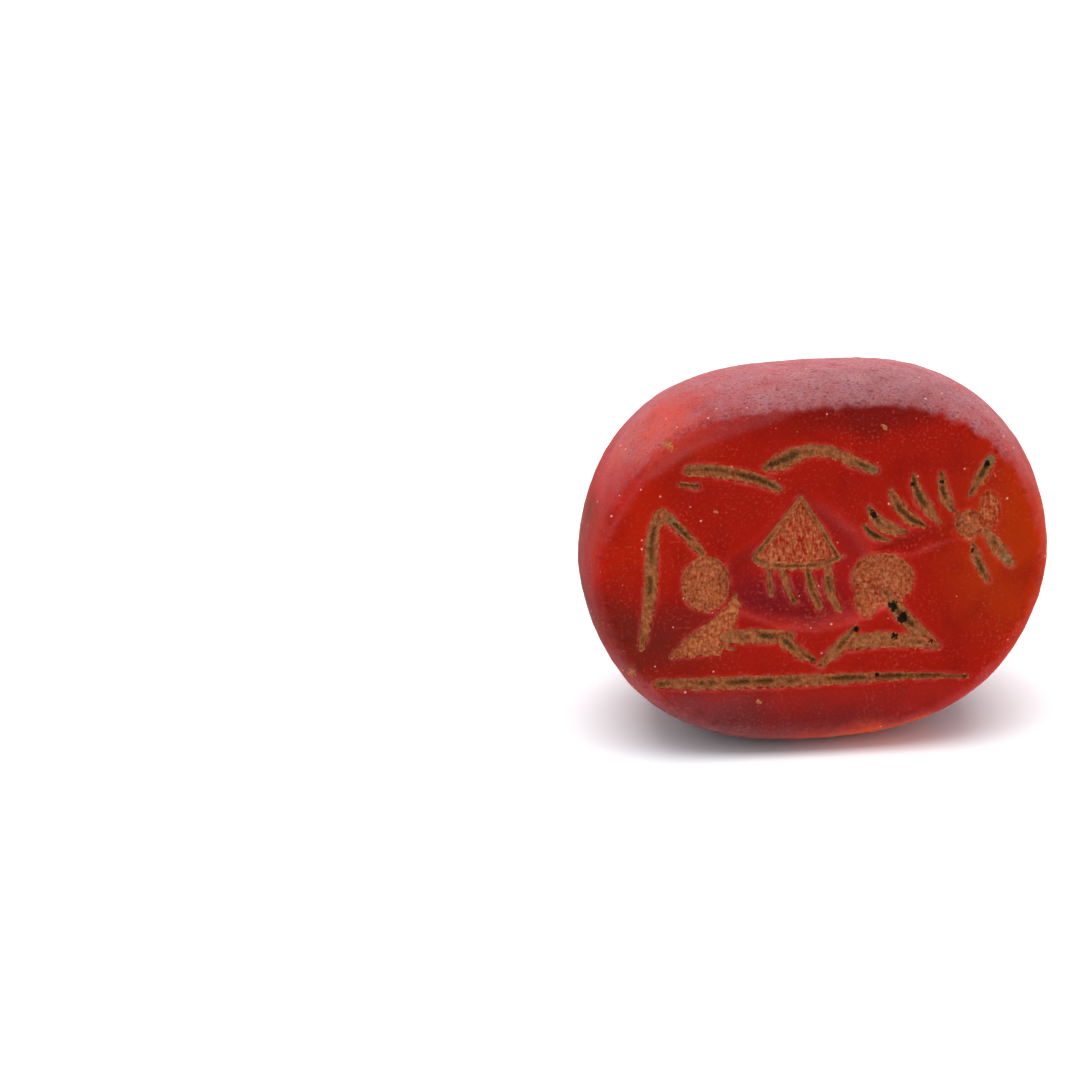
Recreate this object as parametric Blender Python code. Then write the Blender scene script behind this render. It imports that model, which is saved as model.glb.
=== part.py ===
"""Carnelian stamp seal: a domed, lengthwise drilled stone with an engraved flat face.

The stone stands on its long lower side and leans back a little, so that the engraved
face looks along -Y and slightly up. Sizes are written in millimetres and used in metres.
In the stone's own frame X runs along its length, Y runs back from the face into the
stone, and Z runs up the face.
"""

import math

import bmesh
import bpy
from mathutils import Matrix, Vector

MM = 0.001

# Overall sizes of the stone
STONE_LENGTH = 20.0 * MM
STONE_HEIGHT = 16.0 * MM
STONE_THICKNESS = 11.6 * MM

# The widest section lies behind the face, and reaches past it all round
GIRDLE_DEPTH = 3.5 * MM
FACE_END_MARGIN = 0.45 * MM
FACE_SIDE_MARGIN = 0.85 * MM

# How it stands: leaning back, on a small flat worn into its lower side
LEAN_BACK = math.radians(8.0)
REST_FLAT_DEPTH = 0.3 * MM

# Character of the hand-ground outline and of the domed back
OUTLINE_FULLNESS_ABOVE = 1.94
OUTLINE_FULLNESS_BELOW = 1.79
OUTLINE_SKEW = 0.016
OUTLINE_CORNERS = 0.039
SHOULDER_ROUNDING = 3.0
DOME_FULLNESS = 2.8
DOME_TAPER = 0.04

# The engraver's layout is drawn in units of its own, on a face that is this many units
# long and high, and stretched to the real face. One unit is a millimetre at these sizes.
LAYOUT_LENGTH = 19.1
LAYOUT_HEIGHT = 14.3

# Depths of the tools' cuts
DRILL_BOWL_DEPTH = 0.9 * MM
WHEEL_CUT_DEPTH = 0.65 * MM
FINE_CUT_DEPTH = 0.5 * MM
BODY_RECESS_DEPTH = 0.35 * MM
PANEL_DEPTH = 0.5 * MM

# The perforation runs from one end and breaks out of the back
PERFORATION_DIAMETER = 1.8 * MM
END_MOUTH_DEPTH = 6.8 * MM
END_MOUTH_RISE = -0.3 * MM
BREAKOUT_LENGTH = 4.4 * MM
BREAKOUT_HEIGHT = 2.9 * MM
BREAKOUT_DEPTH = 2.6 * MM
BREAKOUT_FROM_CENTRE = -2.4 * MM
BREAKOUT_RISE = -2.3 * MM
CHIP_LENGTH = 3.0 * MM
CHIP_DEPTH = 0.3 * MM

# Facets: around and along the stone, and on the tools that cut it
STONE_SEGMENTS = 56
STONE_RINGS = 22
GIRDLE_RING = 5
TOOL_SEGMENTS = 8
DRILL_SEGMENTS = 18
DRILL_RINGS = 9

# How far a cutter reaches outside the surface that it opens, and how far the middle
# of a wheel or drill stays above the face, so that none of its corners lies in the face
CUTTER_REACH = 2.0 * MM
TOOL_LIFT = 0.04 * MM

# Rounded ends of a wheel cut, as shares of its half width
TIP_REACH = 0.7
TIP_SIZE = 0.65
POINT_REACH = 0.5

# Strokes cut with a wheel, in units of the layout: name, then along, up and width at each
# point from tip to tip
WHEEL_CUTS = (
    ("ribbon_left", ((-5.5, 4.55, 0.45), (-4.45, 4.5, 0.6), (-3.0, 4.2, 0.55), (-1.75, 3.6, 0.35))),
    (
        "ribbon_right",
        ((-2.2, 4.5, 0.4), (-1.4, 4.85, 0.8), (-0.2, 5.2, 0.5), (1.3, 4.75, 0.5), (2.35, 4.2, 0.3)),
    ),
    ("tail_long", ((-6.8, 2.65, 0.5), (-7.15, 1.5, 0.55), (-7.25, -0.6, 0.55), (-7.7, -3.1, 0.25))),
    ("tail_short", ((-6.6, 2.7, 0.45), (-5.0, 0.9, 0.35))),
    ("hind_shank", ((-4.0, -2.8, 0.6), (-2.85, -2.8, 0.65), (-1.4, -2.85, 0.4))),
    ("hind_foot", ((-1.7, -2.95, 0.5), (-1.05, -3.55, 0.55), (-0.35, -4.0, 0.25))),
    ("fore_upper", ((2.85, -1.3, 0.55), (3.45, -2.25, 0.7), (4.9, -3.5, 0.25))),
    ("fore_shank", ((1.25, -3.25, 0.7), (2.6, -3.2, 0.7), (4.95, -3.6, 0.25))),
    ("fore_foot", ((1.45, -2.7, 0.3), (0.8, -3.4, 0.6), (-0.1, -4.25, 0.2))),
    ("horn", ((7.3, 4.45, 0.4), (6.9, 3.75, 0.55), (6.35, 2.9, 0.2))),
    ("muzzle_upper", ((7.1, 1.3, 0.35), (7.55, 0.6, 0.7), (8.1, -0.1, 0.35))),
    ("muzzle_lower", ((6.5, 0.8, 0.25), (6.7, 0.05, 0.55), (7.1, -0.8, 0.25))),
    ("ground_line", ((-7.05, -4.7, 0.4), (-4.6, -4.8, 0.55), (1.5, -4.85, 0.45), (6.2, -5.0, 0.15))),
)

# Finer and shallower strokes, of the same form
FINE_CUTS = (
    ("ribbon_dash", ((-5.85, 3.95, 0.25), (-5.15, 3.85, 0.3))),
    ("cloth_left_edge", ((-0.75, 3.15, 0.2), (-1.75, 1.85, 0.3), (-2.75, 0.55, 0.35))),
    ("cloth_right_edge", ((-0.7, 3.1, 0.2), (0.0, 1.85, 0.3), (0.8, 0.5, 0.3))),
    ("cloth_base", ((-2.8, 0.5, 0.3), (-2.2, 0.15, 0.35), (0.2, 0.1, 0.35), (1.0, 0.45, 0.2))),
    ("fringe_1", ((-2.15, 0.0, 0.3), (-2.05, -1.1, 0.25))),
    ("fringe_2", ((-1.55, 0.0, 0.3), (-1.4, -0.85, 0.35), (-1.1, -1.5, 0.25))),
    ("fringe_3", ((-0.5, -0.05, 0.35), (-0.35, -1.0, 0.4), (0.0, -1.75, 0.3))),
    ("fringe_4", ((0.3, 0.0, 0.35), (0.4, -1.05, 0.45), (0.75, -1.85, 0.3))),
    ("mane_1", ((1.9, 1.8, 0.2), (2.25, 1.35, 0.4), (2.9, 1.15, 0.2))),
    ("mane_2", ((2.1, 2.55, 0.25), (2.5, 1.9, 0.6), (3.1, 1.55, 0.5), (3.7, 1.45, 0.15))),
    ("mane_3", ((3.05, 3.25, 0.25), (3.35, 2.55, 0.55), (3.9, 1.95, 0.5), (4.45, 1.7, 0.25))),
    ("mane_4", ((4.0, 3.9, 0.2), (4.15, 3.15, 0.55), (4.6, 2.35, 0.5), (5.1, 1.8, 0.2))),
    ("mane_5", ((5.2, 3.95, 0.2), (5.25, 3.2, 0.5), (5.5, 2.5, 0.4), (5.8, 2.15, 0.15))),
)

# Drilled bowls: name, centre, half width and half height
DRILLED_BOWLS = (
    ("hip", (-4.75, -0.5), (1.15, 1.35)),
    ("shoulder", (2.65, -0.7), (1.35, 1.3)),
    ("shoulder_tip", (1.9, -1.7), (0.6, 0.75)),
    ("cheek", (6.4, 1.7), (0.65, 0.65)),
    ("crown", (7.2, 2.25), (0.5, 0.85)),
)

# Broad polished hollows of the animal's body, cut before the fine strokes
BODY_HOLLOWS = (
    ("hump", (-0.9, 1.0), (2.6, 2.5)),
    ("trunk", (-0.9, -1.0), (3.5, 1.45)),
    ("neck", (4.4, 1.0), (2.3, 0.9)),
)

# Hollows with a flat floor: name, corners. The first is the hatched cloth on the animal's back
PANELS = (
    ("hatched_cloth", ((-0.75, 3.0), (-2.65, 0.6), (-0.85, 0.15), (0.75, 0.5))),
    ("thigh", ((-3.7, -1.1), (-5.4, -2.4), (-6.65, -3.6), (-4.5, -3.4), (-4.0, -2.5), (-3.5, -1.5))),
)


def clear_scene():
    """Remove the objects that the file opened with."""
    for item in list(bpy.data.objects):
        bpy.data.objects.remove(item, do_unlink=True)


def new_collection(name):
    """Make a collection in the scene."""
    collection = bpy.data.collections.new(name)
    bpy.context.scene.collection.children.link(collection)
    return collection


def carnelian():
    """Return the stone's material: translucent red-brown chalcedony with a worn polish."""
    material = bpy.data.materials.new("worn_carnelian")
    material.use_nodes = True
    shader = material.node_tree.nodes["Principled BSDF"]
    shader.inputs["Base Color"].default_value = (0.33, 0.022, 0.008, 1.0)
    shader.inputs["Roughness"].default_value = 0.35
    shader.inputs["Metallic"].default_value = 0.0
    return material


def mesh_object(name, shape, collection, parent):
    """Turn a bmesh into an object of a collection, placed under a parent."""
    mesh = bpy.data.meshes.new(name)
    shape.to_mesh(mesh)
    shape.free()
    item = bpy.data.objects.new(name, mesh)
    item.parent = parent
    collection.objects.link(item)
    return item


def make_cutter(name, shape, collection, parent):
    """Make an object that only cuts others, shown as a wire."""
    cutter = mesh_object(name, shape, collection, parent)
    cutter.hide_render = True
    cutter.display_type = "WIRE"
    return cutter


def signed_power(value, power):
    """Raise the size of a number to a power and keep its sign."""
    return math.copysign(abs(value) ** power, value)


def outline_point(turn, half_length, half_height):
    """Return the point of the hand-ground outline at one turn round it, as (along, up)."""
    up_share = math.sin(turn)
    fullness = OUTLINE_FULLNESS_ABOVE if up_share > 0.0 else OUTLINE_FULLNESS_BELOW
    along = half_length * signed_power(math.cos(turn), 2.0 / fullness)
    up = half_height * signed_power(up_share, 2.0 / fullness)
    bearing = math.atan2(up, along)
    swell = 1.0 + OUTLINE_SKEW * math.sin(2.0 * bearing) + OUTLINE_CORNERS * (1.0 - math.cos(4.0 * bearing))
    return along * swell, up * swell


def dome_share(run_back):
    """Return the section's size, as a share of the girdle's, part of the way back over the dome."""
    return (1.0 - run_back**DOME_FULLNESS) ** (1.0 / DOME_FULLNESS) * (1.0 - DOME_TAPER * run_back)


def section(depth):
    """Return the half length and half height of the section at a depth behind the face."""
    half_length = STONE_LENGTH / 2.0
    half_height = STONE_HEIGHT / 2.0
    if depth < GIRDLE_DEPTH:
        inset = (1.0 - depth / GIRDLE_DEPTH) ** SHOULDER_ROUNDING
        return half_length - FACE_END_MARGIN * inset, half_height - FACE_SIDE_MARGIN * inset
    size = dome_share(min((depth - GIRDLE_DEPTH) / (STONE_THICKNESS - GIRDLE_DEPTH), 1.0))
    return half_length * size, half_height * size


def ring_depth(ring):
    """Return the depth of one ring of facets, from 0 at the face's edge to the back's top."""
    if ring < GIRDLE_RING:
        return GIRDLE_DEPTH * ring / GIRDLE_RING
    sweep = (ring - GIRDLE_RING) / (STONE_RINGS - 1 - GIRDLE_RING) * math.pi / 2.0
    return GIRDLE_DEPTH + (STONE_THICKNESS - GIRDLE_DEPTH) * math.sin(sweep) ** (2.0 / DOME_FULLNESS)


def back_depth(along, up):
    """Return how deep behind the face the dome's surface lies at a place on the back."""
    reach = math.hypot(along / (STONE_LENGTH / 2.0), up / (STONE_HEIGHT / 2.0))
    run_back = max(1.0 - reach**DOME_FULLNESS, 0.0) ** (1.0 / DOME_FULLNESS)
    return GIRDLE_DEPTH + (STONE_THICKNESS - GIRDLE_DEPTH) * run_back


def stone_shape():
    """Shape a ball into the stone, with a flat face where its front pole was."""
    shape = bmesh.new()
    bmesh.ops.create_uvsphere(shape, u_segments=STONE_SEGMENTS, v_segments=STONE_RINGS, radius=1.0)
    front_pole = min(shape.verts, key=lambda vert: vert.co.z)
    bmesh.ops.delete(shape, geom=[front_pole], context="VERTS")
    for vert in shape.verts:
        ring = round(math.acos(max(-1.0, min(1.0, -vert.co.z))) / math.pi * STONE_RINGS)
        depth = ring_depth(ring - 1)
        half_length, half_height = section(depth)
        turn = math.atan2(vert.co.y, vert.co.x)
        along, up = outline_point(turn, half_length, half_height)
        vert.co = Vector((along, depth, up))
    rim = [edge for edge in shape.edges if edge.is_boundary]
    bmesh.ops.contextual_create(shape, geom=rim)
    bmesh.ops.recalc_face_normals(shape, faces=shape.faces)
    return shape


def layout_unit():
    """Return how large one unit of the engraver's layout is on the real face, along and up."""
    face_length = STONE_LENGTH - 2.0 * FACE_END_MARGIN
    face_height = STONE_HEIGHT - 2.0 * FACE_SIDE_MARGIN
    return face_length / LAYOUT_LENGTH, face_height / LAYOUT_HEIGHT


def face_point(place):
    """Turn a place in the engraver's layout into a point on the real face."""
    unit_along, unit_up = layout_unit()
    return Vector((place[0] * unit_along, -TOOL_LIFT, place[1] * unit_up))


def groove_stations(places):
    """Return a groove's stations from tip to tip: centre, heading and half width."""
    points = [face_point(place) for place in places]
    sizes = [place[2] * layout_unit()[1] / 2.0 for place in places]
    before = [points[0], *points[:-1]]
    after = [*points[1:], points[-1]]
    headings = [(end - start).normalized() for start, end in zip(before, after)]
    first_tip = (points[0] - headings[0] * sizes[0] * TIP_REACH, headings[0], sizes[0] * TIP_SIZE)
    last_tip = (points[-1] + headings[-1] * sizes[-1] * TIP_REACH, headings[-1], sizes[-1] * TIP_SIZE)
    return [first_tip, *zip(points, headings, sizes), last_tip]


def add_groove(shape, places, depth):
    """Shape a ball into the body that a cutting wheel sweeps along a stroke of the face."""
    stations = groove_stations(places)
    rings = len(stations)
    widest = max(size for centre, heading, size in stations)
    made = bmesh.ops.create_uvsphere(shape, u_segments=TOOL_SEGMENTS, v_segments=rings + 1, radius=1.0)
    for vert in made["verts"]:
        ring = round(math.acos(max(-1.0, min(1.0, -vert.co.z))) / math.pi * (rings + 1))
        centre, heading, size = stations[max(0, min(ring - 1, rings - 1))]
        if ring in (0, rings + 1):
            beyond = size * POINT_REACH if ring else -size * POINT_REACH
            vert.co = centre + heading * beyond
            continue
        turn = math.atan2(vert.co.y, vert.co.x) + math.pi / TOOL_SEGMENTS
        across = Vector((heading.z, 0.0, -heading.x))
        sink = depth * size / widest + TOOL_LIFT
        vert.co = centre + across * (size * math.cos(turn)) + Vector((0.0, sink * math.sin(turn), 0.0))


def add_bowl(shape, centre, half_width, half_height, depth):
    """Add the rounded body of a drill that sinks a bowl into the face."""
    made = bmesh.ops.create_uvsphere(shape, u_segments=DRILL_SEGMENTS, v_segments=DRILL_RINGS, radius=1.0)
    upright = Matrix.Rotation(math.pi / 2.0, 4, "X")
    size = Matrix.Diagonal((half_width, depth, half_height, 1.0))
    place = Matrix.Translation(centre)
    bmesh.ops.transform(shape, matrix=place @ size @ upright, verts=made["verts"])


def cut_strokes(cuts, depth, collection, parent):
    """Make the cutters of a group of wheel cuts, one for each stroke."""
    for name, places in cuts:
        shape = bmesh.new()
        add_groove(shape, places, depth)
        make_cutter(f"cutter_{name}", shape, collection, parent)


def cut_bowls(bowls, depth, collection, parent):
    """Make the cutters of a group of rounded hollows."""
    unit_along, unit_up = layout_unit()
    for name, centre, half_sizes in bowls:
        shape = bmesh.new()
        add_bowl(shape, face_point(centre), half_sizes[0] * unit_along, half_sizes[1] * unit_up, depth)
        make_cutter(f"cutter_{name}", shape, collection, parent)


def cut_panels(panels, depth, collection, parent):
    """Make the cutters of the flat-floored hollows: their corners, drawn out through the face."""
    for name, corners in panels:
        shape = bmesh.new()
        bmesh.ops.create_circle(shape, cap_ends=True, radius=1.0, segments=len(corners))
        for vert, corner in zip(shape.verts, corners):
            vert.co = face_point(corner) + Vector((0.0, TOOL_LIFT + depth, 0.0))
        made = bmesh.ops.extrude_face_region(shape, geom=list(shape.faces))
        top = [item for item in made["geom"] if isinstance(item, bmesh.types.BMVert)]
        bmesh.ops.translate(shape, verts=top, vec=Vector((0.0, -depth - CUTTER_REACH, 0.0)))
        bmesh.ops.recalc_face_normals(shape, faces=shape.faces)
        make_cutter(f"cutter_{name}", shape, collection, parent)


def back_point():
    """Return the middle of the mouth where the perforation breaks out of the back."""
    return Vector((BREAKOUT_FROM_CENTRE, back_depth(BREAKOUT_FROM_CENTRE, BREAKOUT_RISE), BREAKOUT_RISE))


def end_point():
    """Return the middle of the perforation's mouth in the stone's end."""
    return Vector((-section(END_MOUTH_DEPTH)[0], END_MOUTH_DEPTH, END_MOUTH_RISE))


def cut_perforation(collection, parent):
    """Make the cutters of the bore, of its breakout in the back and of the chipped end."""
    breakout = bmesh.new()
    add_bowl(breakout, back_point(), BREAKOUT_LENGTH / 2.0, BREAKOUT_HEIGHT / 2.0, BREAKOUT_DEPTH)
    make_cutter("cutter_breakout", breakout, collection, parent)

    chip = bmesh.new()
    add_bowl(chip, end_point(), CHIP_DEPTH, CHIP_LENGTH / 2.0, CHIP_LENGTH / 2.0)
    make_cutter("cutter_chip", chip, collection, parent)

    inner_end = back_point() - Vector((0.0, BREAKOUT_DEPTH * 0.5, 0.0))
    run = inner_end - end_point()
    outer_end = end_point() - run.normalized() * CUTTER_REACH
    bore = bmesh.new()
    bmesh.ops.create_cone(
        bore,
        cap_ends=True,
        segments=DRILL_SEGMENTS,
        radius1=PERFORATION_DIAMETER / 2.0,
        radius2=PERFORATION_DIAMETER / 2.0,
        depth=(inner_end - outer_end).length,
    )
    turn = Vector((0.0, 0.0, 1.0)).rotation_difference(run.normalized()).to_matrix().to_4x4()
    place = Matrix.Translation((inner_end + outer_end) / 2.0)
    bmesh.ops.transform(bore, matrix=place @ turn, verts=bore.verts)
    make_cutter("cutter_bore", bore, collection, parent)


def cut_rest_flat(collection):
    """Make the level block that takes the small flat off the stone's lower side."""
    shape = bmesh.new()
    bmesh.ops.create_cube(shape, size=1.0)
    size = Matrix.Diagonal((STONE_LENGTH * 2.0, STONE_THICKNESS * 3.0, STONE_HEIGHT, 1.0))
    below = Matrix.Translation((0.0, 0.0, -STONE_HEIGHT / 2.0))
    bmesh.ops.transform(shape, matrix=below @ size, verts=shape.verts)
    make_cutter("cutter_rest_flat", shape, collection, None)


def subtract(item, cutters):
    """Cut every object of a collection out of an item in one step."""
    boolean = item.modifiers.new("carving", "BOOLEAN")
    boolean.operation = "DIFFERENCE"
    boolean.solver = "EXACT"
    boolean.operand_type = "COLLECTION"
    boolean.collection = cutters


def stand_up(guide, stone):
    """Lean the stone back, then set it down with its flat at the ground and its box centred."""
    turn = Matrix.Rotation(-LEAN_BACK, 4, "X")
    corners = [turn @ vert.co for vert in stone.data.vertices]
    low = [min(point[axis] for point in corners) for axis in range(3)]
    high = [max(point[axis] for point in corners) for axis in range(3)]
    guide.rotation_euler = (-LEAN_BACK, 0.0, 0.0)
    guide.location = (-(low[0] + high[0]) / 2.0, -(low[1] + high[1]) / 2.0, -low[2] - REST_FLAT_DEPTH)


def build_seal():
    """Build the seal: one stone, with everything that was ground or cut away from it."""
    clear_scene()
    seal = new_collection("stamp_seal")
    cutters = new_collection("cutters")

    guide = bpy.data.objects.new("seal_frame", None)
    seal.objects.link(guide)
    stone = mesh_object("seal_stone", stone_shape(), seal, guide)
    stone.data.materials.append(carnelian())
    stand_up(guide, stone)

    cut_rest_flat(cutters)
    cut_bowls(BODY_HOLLOWS, BODY_RECESS_DEPTH, cutters, guide)
    cut_bowls(DRILLED_BOWLS, DRILL_BOWL_DEPTH, cutters, guide)
    cut_strokes(WHEEL_CUTS, WHEEL_CUT_DEPTH, cutters, guide)
    cut_strokes(FINE_CUTS, FINE_CUT_DEPTH, cutters, guide)
    cut_panels(PANELS, PANEL_DEPTH, cutters, guide)
    cut_perforation(cutters, guide)

    subtract(stone, cutters)
    stone.data.shade_smooth()


build_seal()
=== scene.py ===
"""Dress the carnelian stamp seal: a worn, engraved stone with earth in its cuts.

The stone's own frame has X along its length, Y running back from the engraved face and Z
up the face, in millimetres. The finished mesh is leaned back and set down where the solid is.
"""

import logging
import math
from dataclasses import dataclass, field
from enum import Enum

import bmesh
import bpy
import numpy as np
from mathutils import Matrix, Quaternion, Vector, noise


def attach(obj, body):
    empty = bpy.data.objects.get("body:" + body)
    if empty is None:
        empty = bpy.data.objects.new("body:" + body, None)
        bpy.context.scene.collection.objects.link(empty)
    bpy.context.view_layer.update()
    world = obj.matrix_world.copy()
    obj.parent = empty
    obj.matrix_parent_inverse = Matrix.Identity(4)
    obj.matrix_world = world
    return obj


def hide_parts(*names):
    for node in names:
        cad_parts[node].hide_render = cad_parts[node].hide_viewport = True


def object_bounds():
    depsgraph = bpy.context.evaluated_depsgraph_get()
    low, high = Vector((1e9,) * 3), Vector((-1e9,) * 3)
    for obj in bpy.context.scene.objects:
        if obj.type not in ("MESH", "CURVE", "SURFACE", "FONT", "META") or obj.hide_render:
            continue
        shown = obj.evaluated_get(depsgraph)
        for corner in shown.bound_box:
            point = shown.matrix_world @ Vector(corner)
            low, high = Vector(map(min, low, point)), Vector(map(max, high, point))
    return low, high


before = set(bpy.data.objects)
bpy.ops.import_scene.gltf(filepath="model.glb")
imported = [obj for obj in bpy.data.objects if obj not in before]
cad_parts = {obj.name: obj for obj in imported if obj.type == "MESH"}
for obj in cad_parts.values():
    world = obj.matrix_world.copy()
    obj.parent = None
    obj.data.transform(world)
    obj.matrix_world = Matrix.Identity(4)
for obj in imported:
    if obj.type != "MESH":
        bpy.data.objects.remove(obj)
cad_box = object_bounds()

log = logging.getLogger("seal")

MM = 0.001
FAR = 9.0

# How near a vertex of the cube has to be to a side to be on it
ON_SIDE = 0.001

Place = tuple[float, float]
Station = tuple[float, float, float]
Socket = bpy.types.NodeSocket
Input = Socket | float | tuple | None

# The middle part of a noise's height, in which nearly all of it lies
MIDDLE = (0.3, 0.7)

# What a mix node takes between its share and its two colours, for mixing other things
OTHER_MIX_INPUTS = (None,) * 5

# Which output of an attribute's node gives a mark of each kind
MARK_OUTPUTS = {"FLOAT": "Fac", "FLOAT_COLOR": "Color"}


@dataclass(frozen=True)
class Cut:
    """How a tool cuts.

    Attributes:
        depth: depth of the clean cut, in millimetres.
        open_depth: depth that the earth in the cut leaves open, in millimetres.
        dark_middle: how dark the cut's middle line is, from 0 to 1.
        wear: how far the earth is worn through to the stone, from 0 to 1.
    """

    depth: float
    open_depth: float
    dark_middle: float
    wear: float


class Tool(Enum):
    """An engraver's tool, with its cut."""

    WHEEL = Cut(0.60, 0.17, 0.85, 0.22)
    BLADE = Cut(0.40, 0.15, 0.75, 0.20)
    LEAF = Cut(0.50, 0.15, 1.00, 0.15)
    DRILL = Cut(0.85, 0.28, 0.00, 0.56)
    SCRAPER = Cut(0.50, 0.16, 0.00, 0.66)
    GOUGE = Cut(0.50, 0.18, 0.00, 0.50)


@dataclass(frozen=True)
class Stroke:
    """A narrow cut: points of its middle line as along, up and width, in millimetres."""

    tool: Tool
    line: tuple[Station, ...]


@dataclass(frozen=True)
class Bowl:
    """A drilled bowl: its centre and its half sizes, in millimetres."""

    tool: Tool
    centre: Place
    half_sizes: Place


@dataclass(frozen=True)
class Panel:
    """A scraped hollow with straight sides: its corners, in millimetres."""

    tool: Tool
    corners: tuple[Place, ...]


STROKES = (
    # Ribbons in the sky above the animal
    Stroke(Tool.WHEEL, (
        (-5.5, 4.55, 0.47), (-4.45, 4.5, 0.59), (-3.5, 4.3, 0.57), (-2.5, 4.0, 0.52), (-1.75, 3.6, 0.37),
    )),
    Stroke(Tool.BLADE, ((-5.85, 3.95, 0.25), (-5.15, 3.85, 0.27))),
    Stroke(Tool.WHEEL, (
        (-2.2, 4.55, 0.42), (-1.55, 4.75, 0.81), (-0.8, 5.1, 0.64), (-0.05, 5.2, 0.49), (0.65, 5.05, 0.49),
        (1.4, 4.65, 0.52), (2.35, 4.2, 0.39),
    )),
    # Tail, in two bends
    Stroke(Tool.WHEEL, (
        (-6.75, 2.65, 0.55), (-7.15, 1.7, 0.57), (-7.2, 0.45, 0.59), (-7.25, -0.7, 0.57),
        (-7.4, -1.65, 0.47), (-7.7, -3.1, 0.25),
    )),
    Stroke(Tool.WHEEL, ((-6.6, 2.7, 0.49), (-6.05, 2.15, 0.42), (-5.5, 1.5, 0.42), (-5.0, 0.9, 0.34))),
    # Folded hind leg
    Stroke(Tool.WHEEL, (
        (-4.05, -2.8, 0.62), (-2.85, -2.8, 0.66), (-1.9, -2.85, 0.59), (-1.35, -2.85, 0.37),
    )),
    Stroke(Tool.WHEEL, ((-1.65, -3.0, 0.52), (-1.05, -3.6, 0.57), (-0.35, -4.0, 0.25))),
    Stroke(Tool.BLADE, ((-4.35, -3.15, 0.12), (-3.7, -3.35, 0.15))),
    # Folded foreleg
    Stroke(Tool.WHEEL, ((2.85, -1.3, 0.54), (3.45, -2.25, 0.69), (4.2, -2.95, 0.54), (4.9, -3.5, 0.25))),
    Stroke(Tool.WHEEL, (
        (1.25, -3.3, 0.69), (2.25, -3.2, 0.71), (3.35, -3.25, 0.62), (4.3, -3.45, 0.52), (4.95, -3.6, 0.22),
    )),
    Stroke(Tool.WHEEL, ((1.45, -2.7, 0.32), (0.9, -3.3, 0.59), (0.3, -3.9, 0.52), (-0.1, -4.25, 0.2))),
    # Horn and muzzle
    Stroke(Tool.LEAF, ((7.3, 4.45, 0.44), (6.9, 3.75, 0.57), (6.55, 3.15, 0.32), (6.35, 2.9, 0.15))),
    Stroke(Tool.LEAF, ((7.1, 1.3, 0.34), (7.55, 0.6, 0.69), (8.1, -0.1, 0.37))),
    Stroke(Tool.LEAF, ((6.5, 0.8, 0.22), (6.7, 0.05, 0.54), (7.1, -0.8, 0.27))),
    # Mane, in leaf-shaped cuts
    Stroke(Tool.LEAF, ((1.9, 1.8, 0.2), (2.25, 1.35, 0.42), (2.9, 1.15, 0.17))),
    Stroke(Tool.LEAF, ((2.1, 2.55, 0.27), (2.5, 1.9, 0.62), (3.1, 1.55, 0.52), (3.7, 1.45, 0.17))),
    Stroke(Tool.LEAF, ((3.05, 3.25, 0.25), (3.35, 2.55, 0.57), (3.9, 1.95, 0.54), (4.45, 1.7, 0.25))),
    Stroke(Tool.LEAF, ((4.0, 3.9, 0.22), (4.15, 3.15, 0.54), (4.6, 2.35, 0.52), (5.1, 1.8, 0.2))),
    Stroke(Tool.LEAF, ((5.2, 3.95, 0.2), (5.25, 3.2, 0.52), (5.5, 2.5, 0.42), (5.8, 2.15, 0.15))),
    # Edges and fringe of the cloth on its back
    Stroke(Tool.BLADE, ((-0.75, 3.1, 0.2), (-1.75, 1.8, 0.3), (-2.75, 0.55, 0.34))),
    Stroke(Tool.BLADE, ((-0.75, 3.1, 0.2), (0.0, 1.8, 0.27), (0.75, 0.45, 0.3))),
    Stroke(Tool.BLADE, (
        (-2.75, 0.5, 0.32), (-2.2, 0.15, 0.34), (-0.9, 0.05, 0.32), (0.2, 0.1, 0.34), (1.0, 0.45, 0.15),
    )),
    Stroke(Tool.BLADE, ((-2.15, -0.05, 0.27), (-2.15, -0.55, 0.3), (-2.05, -1.1, 0.22))),
    Stroke(Tool.BLADE, ((-1.55, -0.1, 0.3), (-1.4, -0.85, 0.34), (-1.1, -1.5, 0.27))),
    Stroke(Tool.BLADE, ((-0.5, -0.15, 0.34), (-0.35, -1.0, 0.42), (0.0, -1.75, 0.3))),
    Stroke(Tool.BLADE, ((0.35, -0.05, 0.37), (0.4, -1.05, 0.47), (0.75, -1.85, 0.3))),
    # Ground under the animal
    Stroke(Tool.WHEEL, (
        (-7.05, -4.7, 0.42), (-4.6, -4.8, 0.57), (-0.95, -4.85, 0.54), (1.5, -4.85, 0.44),
        (3.9, -4.85, 0.3), (6.2, -5.0, 0.15),
    )),
)

BOWLS = (
    # Hip, shoulder and its tip, cheek and crown of the head
    Bowl(Tool.DRILL, (-4.88, -0.42), (1.05, 1.22)),
    Bowl(Tool.DRILL, (2.65, -0.6), (1.33, 1.17)),
    Bowl(Tool.DRILL, (1.95, -1.5), (0.5, 0.72)),
    Bowl(Tool.DRILL, (6.4, 1.65), (0.66, 0.64)),
    Bowl(Tool.SCRAPER, (7.2, 2.25), (0.45, 0.85)),
)

PANELS = (
    # Hatched cloth and thigh
    Panel(Tool.SCRAPER, ((-0.75, 3.0), (-2.65, 0.5), (-0.85, 0.1), (0.75, 0.5))),
    Panel(Tool.GOUGE, (
        (-3.62, -1.02), (-3.9, -1.3), (-4.65, -2.05), (-5.7, -2.72), (-6.5, -3.55), (-4.4, -3.5),
        (-4.0, -3.1), (-3.75, -2.3), (-3.45, -1.45),
    )),
)

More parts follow.
